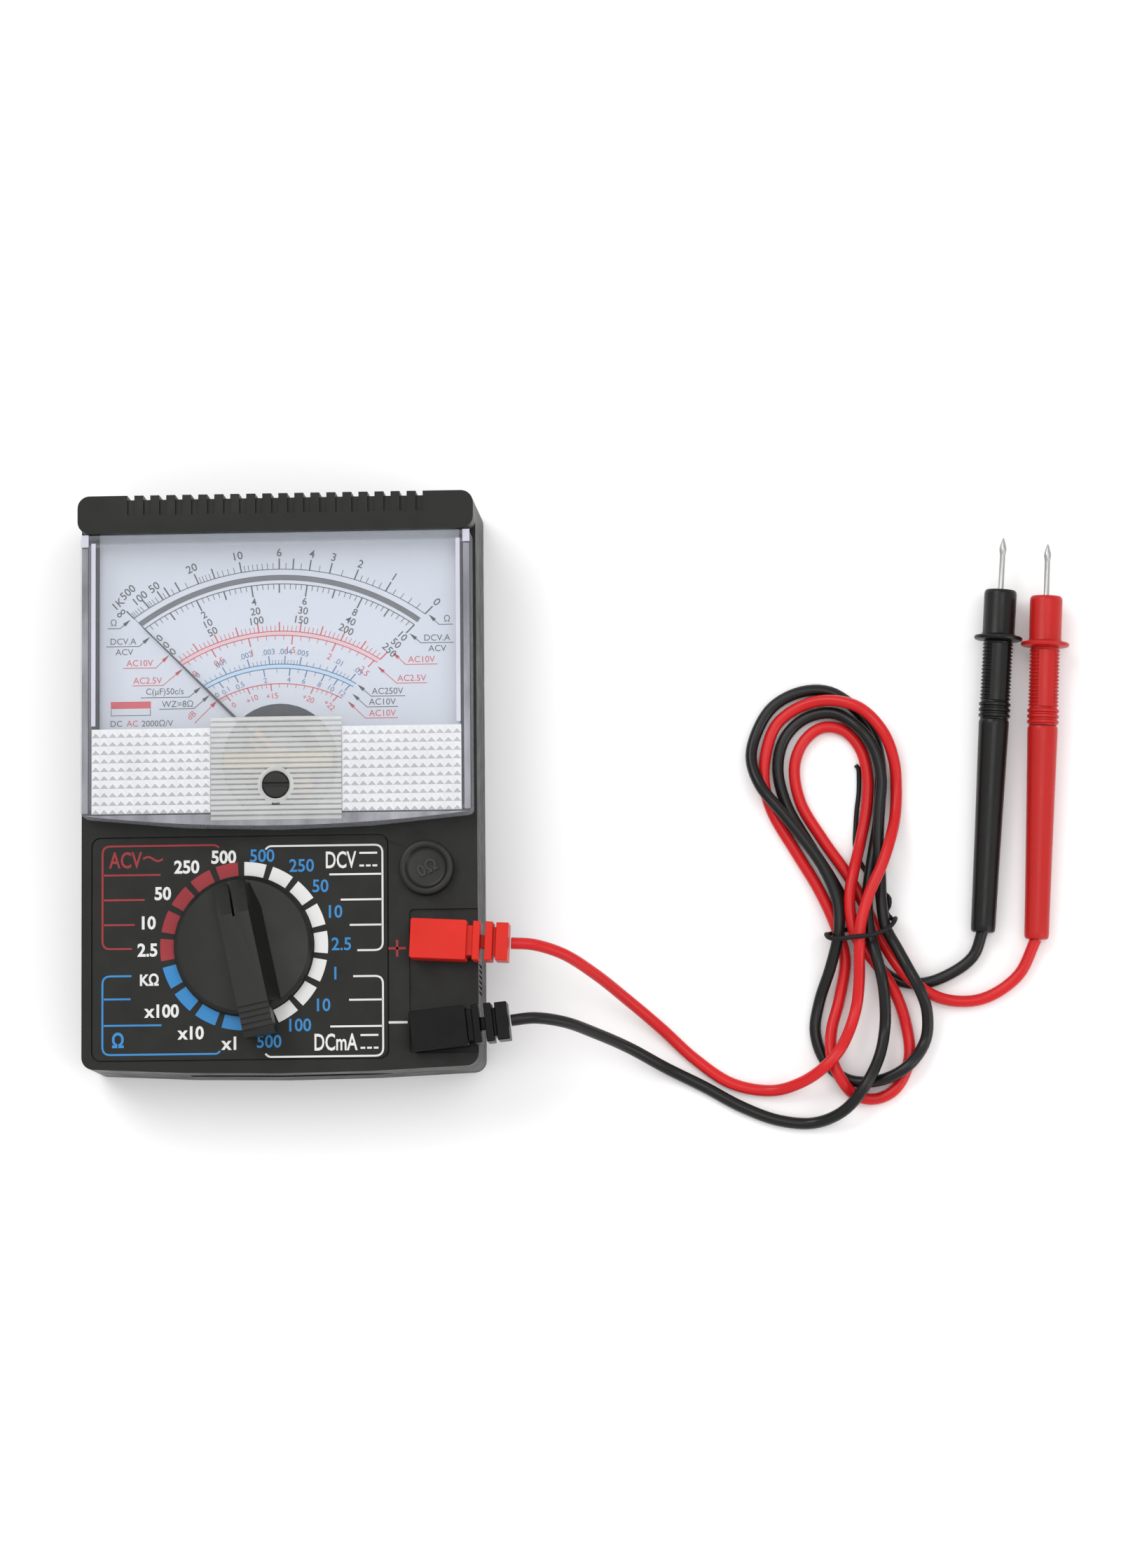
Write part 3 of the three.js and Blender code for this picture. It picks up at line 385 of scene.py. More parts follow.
def evenly(curve, step):
    """Points along the curve about one step apart, and the curve's length."""
    spans = [(b - a).length for a, b in zip(curve, curve[1:])]
    total = sum(spans)
    count = round(total / step)
    made, walked, i = [curve[0]], 0.0, 0
    for k in range(1, count):
        goal = total * k / count
        while walked + spans[i] < goal:
            walked += spans[i]
            i += 1
        made.append(curve[i].lerp(curve[i + 1], (goal - walked) / spans[i]))
    return [*made, curve[-1]], total


# Centrelines of the leads from plug to probe: x, y and height, which says what lies on top at a crossing.
CORD_DIAMETER = 2.5
RED_ROUTE = [
    (49.4, -34.8, 27), (54, -35.1, 26.7), (60, -36.8, 23), (66.5, -40.6, 15.4), (73, -45.6, 7.6),
    (80, -51.5, 2.7), (87, -58, 1.4), (95, -63.4, 1.4), (103.5, -65, 1.6), (109.5, -63.6, 4),
    (114.4, -60.8, 7.2), (118, -57, 7.3), (120.3, -52.4, 5.2), (121.9, -47, 4.5), (122.5, -41.5, 6),
    (122.6, -36, 8), (123, -30, 8.3), (124.9, -23.5, 7.9), (127.6, -17.5, 7.4), (129.4, -12.2, 6.2),
    (130.6, -6.8, 3), (131, -0.5, 1.7), (130.6, 5.6, 2.9), (128.4, 11.6, 4.6), (123.6, 16.8, 5),
    (117.2, 18.8, 3.6), (111, 17.9, 2), (105.6, 14.2, 1.4), (103.2, 8.4, 1.4), (102.6, 1.5, 1.4),
    (104.3, -5, 1.4), (109.2, -13.6, 1.4), (114.1, -22, 2.1), (117.6, -30, 2.9), (119.5, -37, 2.3),
    (118.2, -45.5, 1.9), (116.4, -52.5, 3.2), (116.4, -58.2, 4.7), (118.4, -63, 4.6),
    (121.4, -66.3, 2.4), (125.6, -67, 1.4), (129.8, -65, 1.4), (132.9, -58.6, 1.4), (132.2, -50.5, 1.6),
    (129.6, -43.5, 4), (125.9, -38, 4.8), (122.2, -33, 5.4), (120.8, -28, 5.5), (120.8, -22.6, 5.1),
    (121.8, -17.6, 4.2), (123.2, -11.4, 1.8), (124.6, -4, 1.4), (124.8, 3, 1.4), (123.2, 8.8, 1.4),
    (119.8, 12.5, 1.4), (115.4, 13.2, 1.4), (111.4, 10.4, 1.4), (109.2, 5, 1.4), (110.3, -2.8, 1.4),
    (115.1, -11.2, 1.4), (120.5, -19.2, 1.9), (124.7, -27.2, 2.6), (127.9, -34, 2.7), (133, -41.3, 4.7),
    (140, -45.7, 2.2), (148.5, -45.9, 1.4), (156.4, -41, 1.8), (160.4, -33.2, 2.6),
]
BLACK_ROUTE = [
    (49.3, -51.1, 27), (54, -50.6, 26.7), (60, -51.2, 23), (66.5, -53.2, 15.4), (73.5, -56, 7.6),
    (81, -60, 2.7), (89, -64, 1.4), (97, -68.4, 1.4), (105, -71.4, 1.4), (112.5, -72, 1.6),
    (119, -69.5, 4.6), (123.6, -64.2, 6.3), (126.6, -58, 4.6), (127.8, -52, 3.4), (127.9, -46.6, 5.4),
    (127.4, -41.8, 7.5), (126.2, -36.8, 7.6), (124.9, -31.6, 6.2), (124.4, -26.5, 5.4),
    (124.9, -20, 3), (126, -13.5, 1.4), (127.1, -7, 1.4), (127.6, -0.5, 1.4), (127.5, 6, 1.4),
    (126, 12, 1.4), (122.4, 17.2, 1.4), (117, 20.9, 1.4), (110.8, 21, 1.4), (104.6, 17.8, 1.4),
    (101, 12, 1.4), (99.9, 6.5, 2.4), (101.8, 0.5, 4.3), (106.6, -5.6, 4.3), (110.6, -10.7, 4.3),
    (115.2, -17.5, 4.6), (118, -24.5, 5.2), (118.3, -31, 5.5), (116.4, -38.8, 3.8), (113.9, -46, 1.6),
    (112.9, -52.5, 1.4), (115, -58.8, 1.4), (119.6, -62.8, 1.6), (126.2, -63.2, 2.8),
    (132.4, -60.4, 4.3), (136.4, -54.8, 2.8), (136.9, -49, 4.4), (135.6, -44.6, 6.9), (133.2, -40, 7.5),
    (130.8, -35.4, 6.3), (128.3, -30.5, 5.4), (127.5, -25, 5), (127.3, -18.5, 4.3), (127, -11, 4.2),
    (127.3, -5, 4.2), (127.8, 1.5, 4.2), (126.4, 8, 4.2), (123, 12.8, 4.2), (117.6, 16.2, 2.2),
    (111.6, 15.2, 1.4), (107.2, 11, 1.4), (105.6, 4.5, 1.4), (107.3, -3.4, 1.4), (112, -11.9, 1.4),
    (117, -20, 1.9), (121.3, -28.7, 2.6), (124.6, -35.6, 2.1), (129, -40.8, 1.4), (135.5, -42.4, 1.4),
    (142.3, -40.2, 1.6), (147, -36.6, 2), (149, -31.3, 2.6),
]

# The tie's tail lies inside the loop, slips under the bundle, bends up at its right side as a knot would,
# and then goes once round the bundle.
TIE_DIAMETER = 1.0
TIE_LOOP = Vector((123, -30.2, 5.35))
TIE_LOOP_WIDE, TIE_LOOP_TALL, TIE_LOOP_SQUARE = 7.4, 4.75, 0.6
TIE_ROUTE = [
    (122.4, 4.9, 1.1), (122.9, 4.3, 0.7), (123, 2.4, 0.55), (122.9, -1, 0.55), (122.4, -5, 0.55),
    (122.1, -9, 0.55), (122, -12.5, 0.6), (122.8, -15.5, 0.6), (124.6, -18.6, 0.6), (126.7, -21.4, 0.8),
    (128.2, -23, 2.2), (129.2, -24.3, 3.6), (129.1, -25.7, 3.2), (128.5, -27, 2),
]
for i in range(22):
    angle = math.radians(15 * i - 25)
    c, s = math.cos(angle), math.sin(angle)
    TIE_ROUTE.append((
        TIE_LOOP.x + TIE_LOOP_WIDE * math.copysign(abs(c) ** TIE_LOOP_SQUARE, c),
        TIE_LOOP.y + 1.6 * c - 2.6 * max(0, s),  # the strand on top dips toward the lower side
        TIE_LOOP.z + TIE_LOOP_TALL * math.copysign(abs(s) ** TIE_LOOP_SQUARE, s),
    ))

lead_paths = {}
for colour, route in (("red", RED_ROUTE), ("black", BLACK_ROUTE)):
    path, length = evenly(catmull_rom(route, 16), 1.2)
    tube = sweep(path, CORD_DIAMETER / 2, 16)
    lead = piece(f"lead_{colour}", tube, f"{colour}_cord", body=None, sharp=60)
    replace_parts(lead, f"cord_{colour}")
    lead_paths[colour] = (lead, [p * MM for p in path], length * MM)

tie_path, tie_length = evenly(catmull_rom(TIE_ROUTE, 8), 0.8)
tie = piece("tie_wire", sweep(tie_path, TIE_DIAMETER / 2, 10), "tie", sharp=60)
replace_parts(tie, "cord_tie")


# ---------------------------------------------------------------- probes
TAIL_RADIUS, GUARD_RADIUS, GUARD_AT = 2.6, 5.2, 63  # GUARD_AT is measured from the tail's end


def probe_profiles():
    """[radius, z] outlines of the tail sleeve, the ribbed grip with its guard and collar, and the needle."""
    sleeve = [(0, 0), (1.35, 0), (1.35, -0.7), (2.1, -0.7), (2.45, -0.5), (TAIL_RADIUS, -0.1)]
    sleeve += [(2.65 + 0.6 * (i / 12) ** 1.2, 0.8 + 43.2 * i / 12) for i in range(13)]
    sleeve += [(3.25, 44.6), (3.1, 45), (0, 45)]
    grip = [(0, 45.2), (3.0, 45.2)]
    for z in (45.5, 46.7, 47.9):
        grip += [(3.05, z), (3.4, z + 0.2), (3.4, z + 0.7), (3.05, z + 0.9)]
    z = 49.3
    while z < 61.2:
        grip += [(2.95, z), (3.24, z + 0.16), (3.24, z + 0.4), (2.95, z + 0.56)]
        z += 0.78
    grip += [
        (3.0, 61.5), (3.05, 61.8), (3.5, 62.0), (4.6, 62.15), (5.05, 62.3), (GUARD_RADIUS, 62.6),
        (GUARD_RADIUS, 62.85), (5.0, 63.1), (4.2, 63.25), (3.6, 63.5), (3.45, 64), (3.5, 72.1),
        (3.4, 72.7), (3.1, 73.05), (1.6, 73.1), (1.2, 72.8), (1.2, 66), (0, 66),
    ]
    needle = [
        (0, 66.3), (0.95, 66.3), (0.95, 72.7), (0.7, 73.2), (0.6, 73.6), (0.6, 80.6), (0.66, 81),
        (0.8, 81.8), (0.75, 82.4), (0.3, 83.9), (0.08, 84.4), (0, 84.4),
    ]
    return sleeve, grip, needle


def arched_panel(radius, thick, ends, angles, place):
    """A smooth raised panel part of the way round a turned body, in degrees from its upper side."""
    bm = bmesh.new()
    count = 12
    first, last = angles
    turns = [math.radians(-90 + first + (last - first) * i / count) for i in range(count + 1)]
    rows = []
    for r in (radius, radius - thick):
        for z in ends:
            rows.append([bm.verts.new(place @ round_point(r, t, z)) for t in turns])
    outer_low, outer_high, inner_low, inner_high = rows
    loop = (outer_low, outer_high, inner_high, inner_low)
    for a, b in zip(loop, (*loop[1:], outer_low)):
        for i in range(count):
            bm.faces.new((a[i], a[i + 1], b[i + 1], b[i]))
    for i in (0, count):
        bm.faces.new([row[i] for row in loop])
    bmesh.ops.recalc_face_normals(bm, faces=bm.faces)
    return bm


# A probe lies on its guard and the end of its tail, and its needle leans some degrees to the right.
rise = math.asin((GUARD_RADIUS - TAIL_RADIUS) / GUARD_AT)
for colour, tail, lean in (("red", (160.5, -32.6, 2.7), 2.6), ("black", (149.1, -31.0, 2.7), 3.9)):
    place = Matrix.Translation(tail) @ Matrix.Rotation(math.radians(-lean), 4, "Z")
    place = place @ Matrix.Rotation(-math.pi / 2 + rise, 4, "X")
    for part, outline in zip(("sleeve", "grip", "tip"), probe_profiles()):
        material, slot = ("steel", "steel") if part == "tip" else (f"{colour}_probe", f"probe_{colour}")
        turned = lathe(outline, 48, place)
        made = piece(f"probe_{colour}_{part}_turned", turned, material, sharp=38)
        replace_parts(made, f"probe_{colour}_{part}")
    panel = arched_panel(3.32, 0.5, (49.2, 61.3), (-22, 40), place)
    piece(f"probe_{colour}_grip_panel", panel, f"{colour}_probe", sharp=50)


# ---------------------------------------------------------------- case
case_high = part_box("front_case")[1] / MM
CASE_FOOT = -60  # beyond this the case's lower wall
CAP_EDGE = 54  # beyond this the raised cap
CAP_RIB_LENGTH, CAP_RIBS_HALF = 4.4, 32
SHOULDER_HEIGHT, CAP_HEIGHT = 23.5, 29


def case_rim(edge, middle):
    """The outer corners of the two halves are rounder than the small edges inside."""
    a, b = edge.verts
    level = abs(a.co.z - b.co.z) < 0.05
    outer = abs(middle.x) > case_high.x - 0.3 or middle.y > case_high.y - 0.3 or middle.y < CASE_FOOT
    if middle.y > case_high.y - CAP_RIB_LENGTH and abs(middle.x) < CAP_RIBS_HALF and middle.z > CAP_HEIGHT:
        return 0.42
    if outer and level and middle.z > SHOULDER_HEIGHT:
        return 1.1 if middle.y < CAP_EDGE or middle.z > CAP_HEIGHT + 1 else 0.3
    if outer and level and middle.z < 0.5:
        return 1.2
    return None


refine("front_case", "case", 0.22, case_rim)
refine("rear_case", "case", 0.22, case_rim)
refine("selector_knob", "knob", 0.3)
OHM_KNOB = box_centre("ohm_adjust_knob")
OHM_KNOB_FLOOR = 26.0
dish = lathe([
    (0, 16.4), (2, 16.4), (2, 24.3), (5.55, 24.3), (5.8, 24.55), (5.8, 26.3), (5.66, 26.64), (5.3, 26.8),
    (4.75, 26.8), (4.45, 26.68), (4.2, 26.3), (4.0, 26.12), (3.6, 26.05), (0, OHM_KNOB_FLOOR),
], 64, Matrix.Translation((*OHM_KNOB, 0)))
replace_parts(piece("ohm_adjust_knob_finished", dish, "knob", "ohm_knob"), "ohm_adjust_knob")
refine("zero_adjust_screw", "knob", 0.2)
refine("window_cover", "clear", 0.4)
for colour in ("red", "black"):
    refine(f"plug_{colour}_body", f"{colour}_plug", 0.3)
    refine(f"plug_{colour}_pin", "steel", 0.12)

CAD_SHAPES = {
    "dial": "dial_plate",
    "panel": "range_plate",
    "case": "movement_base ohm_potentiometer",
    "needle": "pointer",
    "iron": "yoke_ring core_magnet",
    "copper": "moving_coil",
    "white": "selector_rotor",
    "board": "circuit_board",
    "resistor": "resistor_1 resistor_2 resistor_3 resistor_4",
    "diode": "diode_1 diode_2",
    "glass": "fuse_tube",
    "wrap": "cell",
    "steel": (
        "case_screw_1 case_screw_2 dial_screw_left dial_screw_right pivot_staff_upper pivot_staff_lower "
        "detent_ball detent_spring cell_contact cell_spring"
    ),
    "brass": (
        "core_bracket_1 core_bracket_2 upper_bridge upper_jewel_screw lower_jewel_screw upper_hairspring "
        "lower_hairspring zero_lever wiper_contact fuse_clip_lower fuse_clip_upper jack_positive "
        "jack_negative"
    ),
}
for material, names in CAD_SHAPES.items():
    for node in names.split():
        paint(node, material)


# ---------------------------------------------------------------- printing
font_curve = bpy.data.curves.new("lettering", "FONT")
font_curve.resolution_u = 3
lettering = bpy.data.objects.new("lettering", font_curve)
scene.collection.objects.link(lettering)
CAP = 0.7  # capital height of the built-in letters at size 1


class Ink:
    """Flat printed shapes of one colour on a level surface, in millimetres."""

    def __init__(self, z):
        self.bm = bmesh.new()
        self.z = z

    def shape(self, points):
        corners = [self.bm.verts.new((x, y, self.z)) for x, y in points]
        face = self.bm.faces.new(corners)
        face.normal_update()
        if face.normal.z < 0:
            face.normal_flip()

    def line(self, points, width):
        """A stroke along the points with mitred corners."""
        points = [Vector(p) for p in points]
        left, right = [], []
        for i, p in enumerate(points):
            before = (p - points[i - 1]).normalized() if i else (points[1] - p).normalized()
            after = (points[i + 1] - p).normalized() if i + 1 < len(points) else before
            across = Vector((-before.y - after.y, before.x + after.x)).normalized()
            reach = width / 2 / max(0.3, across.dot(Vector((-after.y, after.x))))
            left.append(p + across * reach)
            right.append(p - across * reach)
        for i in range(len(points) - 1):
            self.shape([left[i], left[i + 1], right[i + 1], right[i]])

    def text(self, body, x, y, height, turn=0.0, weight=0.0, squeeze=1.0):
        """Letters of this capital height, centred on x and y; turn is in degrees."""
        font_curve.body = body
        font_curve.offset = weight
        bpy.context.view_layer.update()
        shown = lettering.evaluated_get(bpy.context.evaluated_depsgraph_get())
        letters = shown.to_mesh()
        xs = [v.co.x for v in letters.vertices]
        ys = [v.co.y for v in letters.vertices]
        centre = Vector(((min(xs) + max(xs)) / 2, (min(ys) + max(ys)) / 2, 0))
        size = height / CAP
        place = Matrix.Translation((x, y, self.z)) @ Matrix.Rotation(math.radians(turn), 4, "Z")
        place = place @ Matrix.Diagonal((size * squeeze, size, 1, 1)) @ Matrix.Translation(-centre)
        count = len(self.bm.verts)
        self.bm.from_mesh(letters)
        shown.to_mesh_clear()
        self.bm.verts.ensure_lookup_table()
        for v in self.bm.verts[count:]:
            v.co = place @ v.co

    def done(self, name, material, slot, body="meter", film=0.02):
        """Makes the shapes into a piece, a film of ink standing on the surface."""
        obj = piece(name, self.bm, material, body)
        obj.data.shade_flat()
        thick = obj.modifiers.new("film", "SOLIDIFY")
        thick.thickness = film * MM
        thick.offset = 1


# The dial's arcs share one centre; its ticks and numbers stand on rays from the pointer's pivot.
dial_top = box_top("dial_plate") + 0.01
PIVOT = Vector((0, 5.1))
ARC_CENTRE = Vector((0, -6.5))
SWING = 45  # degrees either side of up
OHM_ARC, DC_ARC, AC_HIGH_ARC, AC_LOW_ARC = 53.0, 49.8, 39.6, 38.7
FARAD_ARC, WATT_ARC, LEVEL_ARC = 32.5, 31.6, 28.3
LEADER_WIDTH, LEADER_LETTERS = 0.16, 1.35


def ray(angle, radius, out=0.0):
    """The point where a ray from the pivot, clockwise from up, meets an arc, moved out along it."""
    turn = math.radians(angle)
    lift = PIVOT.y - ARC_CENTRE.y
    reach = math.sqrt(radius ** 2 - (lift * math.sin(turn)) ** 2) - lift * math.cos(turn) + out
    return PIVOT + reach * Vector((math.sin(turn), math.cos(turn)))


def arc(ink, radius, width):
    count = 60
    ink.line([ray(2 * SWING * i / count - SWING, radius) for i in range(count + 1)], width)


def tick(ink, angle, radius, out, width):
    ink.line([ray(angle, radius), ray(angle, radius, out)], width)


def minor_ticks(ink, marks, parts, radius, out, width=0.12):
    """Short ticks that split each span between named marks into equal parts."""
    for (_, low), (_, high) in zip(marks, marks[1:]):
        for k in range(1, parts):
            tick(ink, low + (high - low) * k / parts, radius, out, width)


def leader(ink, body, x, y, x0, x1, base, tip, squeeze=1.0):
    """A scale's name on a line that runs on to an arrow at the scale's end."""
    ink.text(body, x, y, LEADER_LETTERS, squeeze=squeeze)
    start, corner = (x0, x1) if tip[0] > x else (x1, x0)
    tip = Vector(tip)
    bend = Vector((corner, base))
    ink.line([(start, base), bend, tip], LEADER_WIDTH)
    along = (tip - bend).normalized()
    across = Vector((-along.y, along.x))
    ink.shape([tip + along * 0.3, tip - along * 1.5 + across * 0.42, tip - along * 1.5 - across * 0.42])


black, grey, red, pink, blue, sky = (Ink(dial_top + lift) for lift in (0.004, 0, 0.004, 0, 0.004, 0))


def ohm_angle(value):
    """The ohm scale crowds toward the left: its middle mark is 6."""
    return 2 * SWING * 6 / (6 + value) - SWING


arc(black, OHM_ARC, 0.16)
arc(grey, 51.1, 1.05)  # the wide mirror band and its thin edge
arc(black, 51.68, 0.12)
arc(black, DC_ARC, 0.18)
# Ohm marks: every 0.2 to 2, every 0.5 to 10, every 1 to 20, then further and further apart.
marks = [i * 0.2 for i in range(11)] + [2 + i * 0.5 for i in range(1, 17)] + list(range(11, 21))
marks += [25, 30, 35, 40, 45, 50, 60, 70, 80, 90, 100, 150, 200, 300, 500, 1000]
for value in marks:
    tall = value in (0, 1, 2, 3, 4, 5, 6, 10, 15, 20, 30, 40, 50, 100)
    tick(black, ohm_angle(value), OHM_ARC, *((2.3, 0.3) if tall else (1.35, 0.13)))
tick(black, -SWING, OHM_ARC, 2.3, 0.3)
for body, angle, out in (
    ("0", SWING, 3.6), ("1", ohm_angle(1), 3.6), ("2", ohm_angle(2), 3.6), ("3", ohm_angle(3), 3.6),
    ("4", ohm_angle(4), 3.6), ("6", ohm_angle(6), 3.6), ("10", ohm_angle(10), 3.7),
    ("20", ohm_angle(20), 3.7), ("50", ohm_angle(50), 3.4), ("100", -39.9, 3.0),
    ("500", -41.4, 5.5), ("1K", -45.0, 4.7), ("∞", -46.4, 2.6),
):
    x, y = ray(angle, OHM_ARC, out)
    black.text(body, x, y, 1.7, -angle if angle > -40 else 42, weight=0.008)
# Fifty divisions under the band and on the first red scale, and three rows of numbers.
for i in range(51):
    angle = 1.8 * i - SWING
    tick(black, angle, DC_ARC, -2.5 if i % 10 == 0 else -1.9 if i % 5 == 0 else -1.15, 0.14 if i % 5 else 0.3)
    tick(red, angle, AC_HIGH_ARC, *((1.25, 0.13) if i % 5 else (2.0, 0.28)))
for i in range(6):
    for row, factor in enumerate((2, 10, 50)):
        x, y = ray(18 * i - SWING + (0 if i else 1.3), DC_ARC, -3.5 - 2.05 * row)
        black.text(str(factor * i), x, y, 1.55, SWING - 18 * i, weight=0.008)
arc(red, AC_HIGH_ARC, 0.2)
arc(pink, (AC_HIGH_ARC + AC_LOW_ARC) / 2, 0.75)
arc(red, AC_LOW_ARC, 0.2)
# The lower scales: each name with its angle from up.
volts = [("0", -45), ("0.5", -31), ("1", -14), ("1.5", 6), ("2", 25.6), ("2.5", 43.5)]
for body, angle in volts:
    tick(red, angle, AC_LOW_ARC, -1.9, 0.26)
    x, y = ray(angle + (1.6 if body == "0" else 0), AC_LOW_ARC, -3.1)
    red.text(body, x, y, 1.35, -angle)
minor_ticks(red, volts, 5, AC_LOW_ARC, -0.95, 0.13)
arc(blue, FARAD_ARC, 0.2)
arc(sky, (FARAD_ARC + WATT_ARC) / 2, 0.75)
arc(blue, WATT_ARC, 0.2)
farads = [
    ("0", -45), (".001", -31), (".002", -17.4), (".003", -5.8), (".004", 3.1), (".005", 11.9), (".01", 31),
    (".03", 41.3),
]
for body, angle in farads:
    tick(blue, angle, FARAD_ARC, 1.8, 0.24)
    x, y = ray(angle + (2.0 if body == "0" else 0), FARAD_ARC, 2.7)
    blue.text(body, x, y, 1.2, -angle)
minor_ticks(blue, farads, 5, FARAD_ARC, 0.95)
watts = [
    ("0", -45), ("0.1", -37), ("0.5", -27.3), ("2", -9.8), ("4", 6.5), ("6", 16.9), ("8", 27.6), ("10", 35.6),
    ("12", 43),
]
for body, angle in watts:
    tick(blue, angle, WATT_ARC, -1.6, 0.24)
    x, y = ray(angle + (2.2 if body == "0" else 0), WATT_ARC, -2.4)
    blue.text(body, x, y, 1.15, -angle)
minor_ticks(blue, watts, 2, WATT_ARC, -0.9)
arc(red, LEVEL_ARC, 0.2)
levels = [("", -45), ("0", -38.6), ("+10", -23.5), ("+15", -6.4), ("+20", 24.8), ("+22", 41.9)]
for body, angle in levels:
    tick(red, angle, LEVEL_ARC, -1.5, 0.24)
    if body:
        x, y = ray(angle, LEVEL_ARC, -2.6)
        red.text(body, x, y, 1.2, -angle)
minor_ticks(red, levels, 5, LEVEL_ARC, -0.85)
black.line([ray(-SWING, OHM_ARC), ray(-SWING, LEVEL_ARC, -2)], 0.12)

leader(black, "Ω", -35.6, 35.5, -36.9, -34.2, 34.2, (-32.2, 35.9))
leader(black, "DCV.A", -33.5, 31.4, -37.2, -30.1, 30.3, (-28, 32.1))
black.text("ACV", -33.3, 29.1, LEADER_LETTERS)
leader(red, "AC10V", -30, 26.7, -33.6, -26.5, 25.6, (-23.9, 28.1))
leader(red, "AC2.5V", -28.3, 22.9, -31.6, -25, 21.8, (-21, 25.1))
leader(black, "C(μF)50c/s", -24.6, 20.3, -29.8, -19.4, 19.2, (-17, 21.2), squeeze=0.95)
leader(black, "WZ=8Ω", -21.9, 17.8, -25.8, -18.4, 16.7, (-15.2, 19.4))
red.text("dB", -18.9, 15.3, 1.3, 42)
red.line([(-18.2, 13.6), (-13.8, 17.9)], LEADER_WIDTH)
red.shape([(-13.4, 18.3), (-14.9, 17.5), (-14.2, 16.8)])
leader(black, "Ω", 35.9, 35.3, 34.2, 37.1, 34.0, (32.2, 36.0))
leader(black, "DCV.A", 33.8, 31.2, 30.3, 37.3, 30.1, (28.1, 32.0))
black.text("ACV", 33.8, 28.9, LEADER_LETTERS)
leader(red, "AC10V", 30.4, 26.6, 27, 33.9, 25.5, (24.4, 28.0))
leader(red, "AC2.5V", 28.3, 22.6, 25.1, 31.6, 21.5, (21.2, 25.0))
leader(black, "AC250V", 23.1, 19.9, 19.6, 26.9, 18.8, (16.9, 21.2))
leader(black, "AC10V", 22, 17.6, 18.7, 25.4, 16.5, (15.8, 19.2))
leader(red, "AC10V", 22, 15.2, 18.4, 25.3, 14.1, (14.8, 17.6))
# A plain bar over an outlined box, then the words under them.
red.shape([(-36.2, 16.9), (-27.6, 16.9), (-27.6, 18.4), (-36.2, 18.4)])
black.line([(-36.1, 16.8), (-36.1, 15.4), (-27.7, 15.4), (-27.7, 16.8)], 0.14)
black.text("DC", -35, 13.7, 1.3)
red.text("AC", -31.6, 13.7, 1.3)
black.text("2000Ω/V", -26.2, 13.7, 1.3)

for colour, ink in {
    "black": black, "grey": grey, "red": red, "pink": pink, "blue": blue, "sky": sky,
}.items():
    ink.done(f"dial_print_{colour}", f"ink_{colour}", "dial_face")

# The bar's right flank runs on beside the sloping nose.
KNOB = box_centre("selector_rotor")
BAR_TURN = 102  # degrees from +X to the bar's pointing end
flank = bmesh.new()
turned = Matrix.Translation((*KNOB, 0)) @ Matrix.Rotation(math.radians(BAR_TURN), 4, "Z")
for x, y, z in (
    (6.8, -3.0, 26.2), (6.8, -5.7, 26.2), (6.8, -3.0, 32.0),
    (12.7, -3.0, 26.2), (12.7, -4.3, 26.2), (12.7, -3.0, 28.4),
):
    flank.verts.new(turned @ Vector((x, y, z)))
bmesh.ops.convex_hull(flank, input=flank.verts)
piece("selector_flank", flank, "knob", "selector")

# The range panel: brackets, a ring of segments and bold numbers around the selector.
panel_top = box_top("range_plate") + 0.01
white, wine, azure = Ink(panel_top), Ink(panel_top), Ink(panel_top)
RULE_WIDTH, BAR_SIGN_WIDTH, SIGN_WIDTH = 0.4, 0.42, 0.5
BRACKET_RADIUS = 1.7
SEGMENTS, SEGMENT_HALF = 18, 7.7  # the ring's marks, and half the degrees each takes
RING_INNER, RING_OUTER = 15.0, 17.9
NUMBER_HEIGHT = 2.65


def bend(corner, start, stop):
    """Points round a corner from the start side to the stop side."""
    steps = 6
    radius = min(BRACKET_RADIUS, 0.6 * (corner - start).length, 0.6 * (corner - stop).length)
    a = corner + (start - corner).normalized() * radius
    b = corner + (stop - corner).normalized() * radius
    made = []
    for i in range(steps + 1):
        t = i / steps
        made.append(a * (1 - t) ** 2 + corner * 2 * t * (1 - t) + b * t * t)
    return made


def bracket(ink, points):
    """A stroke whose inner corners are round."""
    points = [Vector(p) for p in points]
    made = [points[0]]
    for before, corner, after in zip(points, points[1:], points[2:]):
        made += bend(corner, before, after)
    ink.line([*made, points[-1]], RULE_WIDTH)


# Nine ranges are white, four blue and five red, clockwise from the top.
for i in range(SEGMENTS):
    ink = white if i < 9 else azure if i < 13 else wine
    middle = 8 + 360 / SEGMENTS * i
    angles = [math.radians(90 - middle + SEGMENT_HALF * (1 - k / 3)) for k in range(7)]
    outer = [KNOB + RING_OUTER * Vector((math.cos(a), math.sin(a))) for a in angles]
    inner = [KNOB + RING_INNER * Vector((math.cos(a), math.sin(a))) for a in angles]
    for k in range(6):
        ink.shape([inner[k], outer[k], outer[k + 1], inner[k + 1]])
# A bracket and its rules for each kind of range.
bracket(wine, [(-12.8, -13.4), (-13.5, -12.8), (-37.7, -12.8), (-37.7, -34.7), (-31.4, -34.7)])
for x, y in ((-25.3, -19), (-28.7, -24.3), (-30.8, -29.6)):
    wine.line([(-37.6, y), (x, y)], RULE_WIDTH)
bracket(azure, [(-31.5, -40.5), (-37.7, -40.5), (-37.7, -57.2), (-13.2, -57.2), (-12.6, -56.6)])
for x, y in ((-31.7, -45.4), (-25.1, -51)):
    azure.line([(-37.6, y), (x, y)], RULE_WIDTH)
bracket(white, [(-2.9, -13.9), (-2.2, -13.2), (22, -13.2), (22, -35.6), (16.6, -35.6)])
for x, y in ((10.7, -19.4), (13.1, -24.8), (15.0, -30.2)):
    white.line([(x, y), (21.9, y)], RULE_WIDTH)
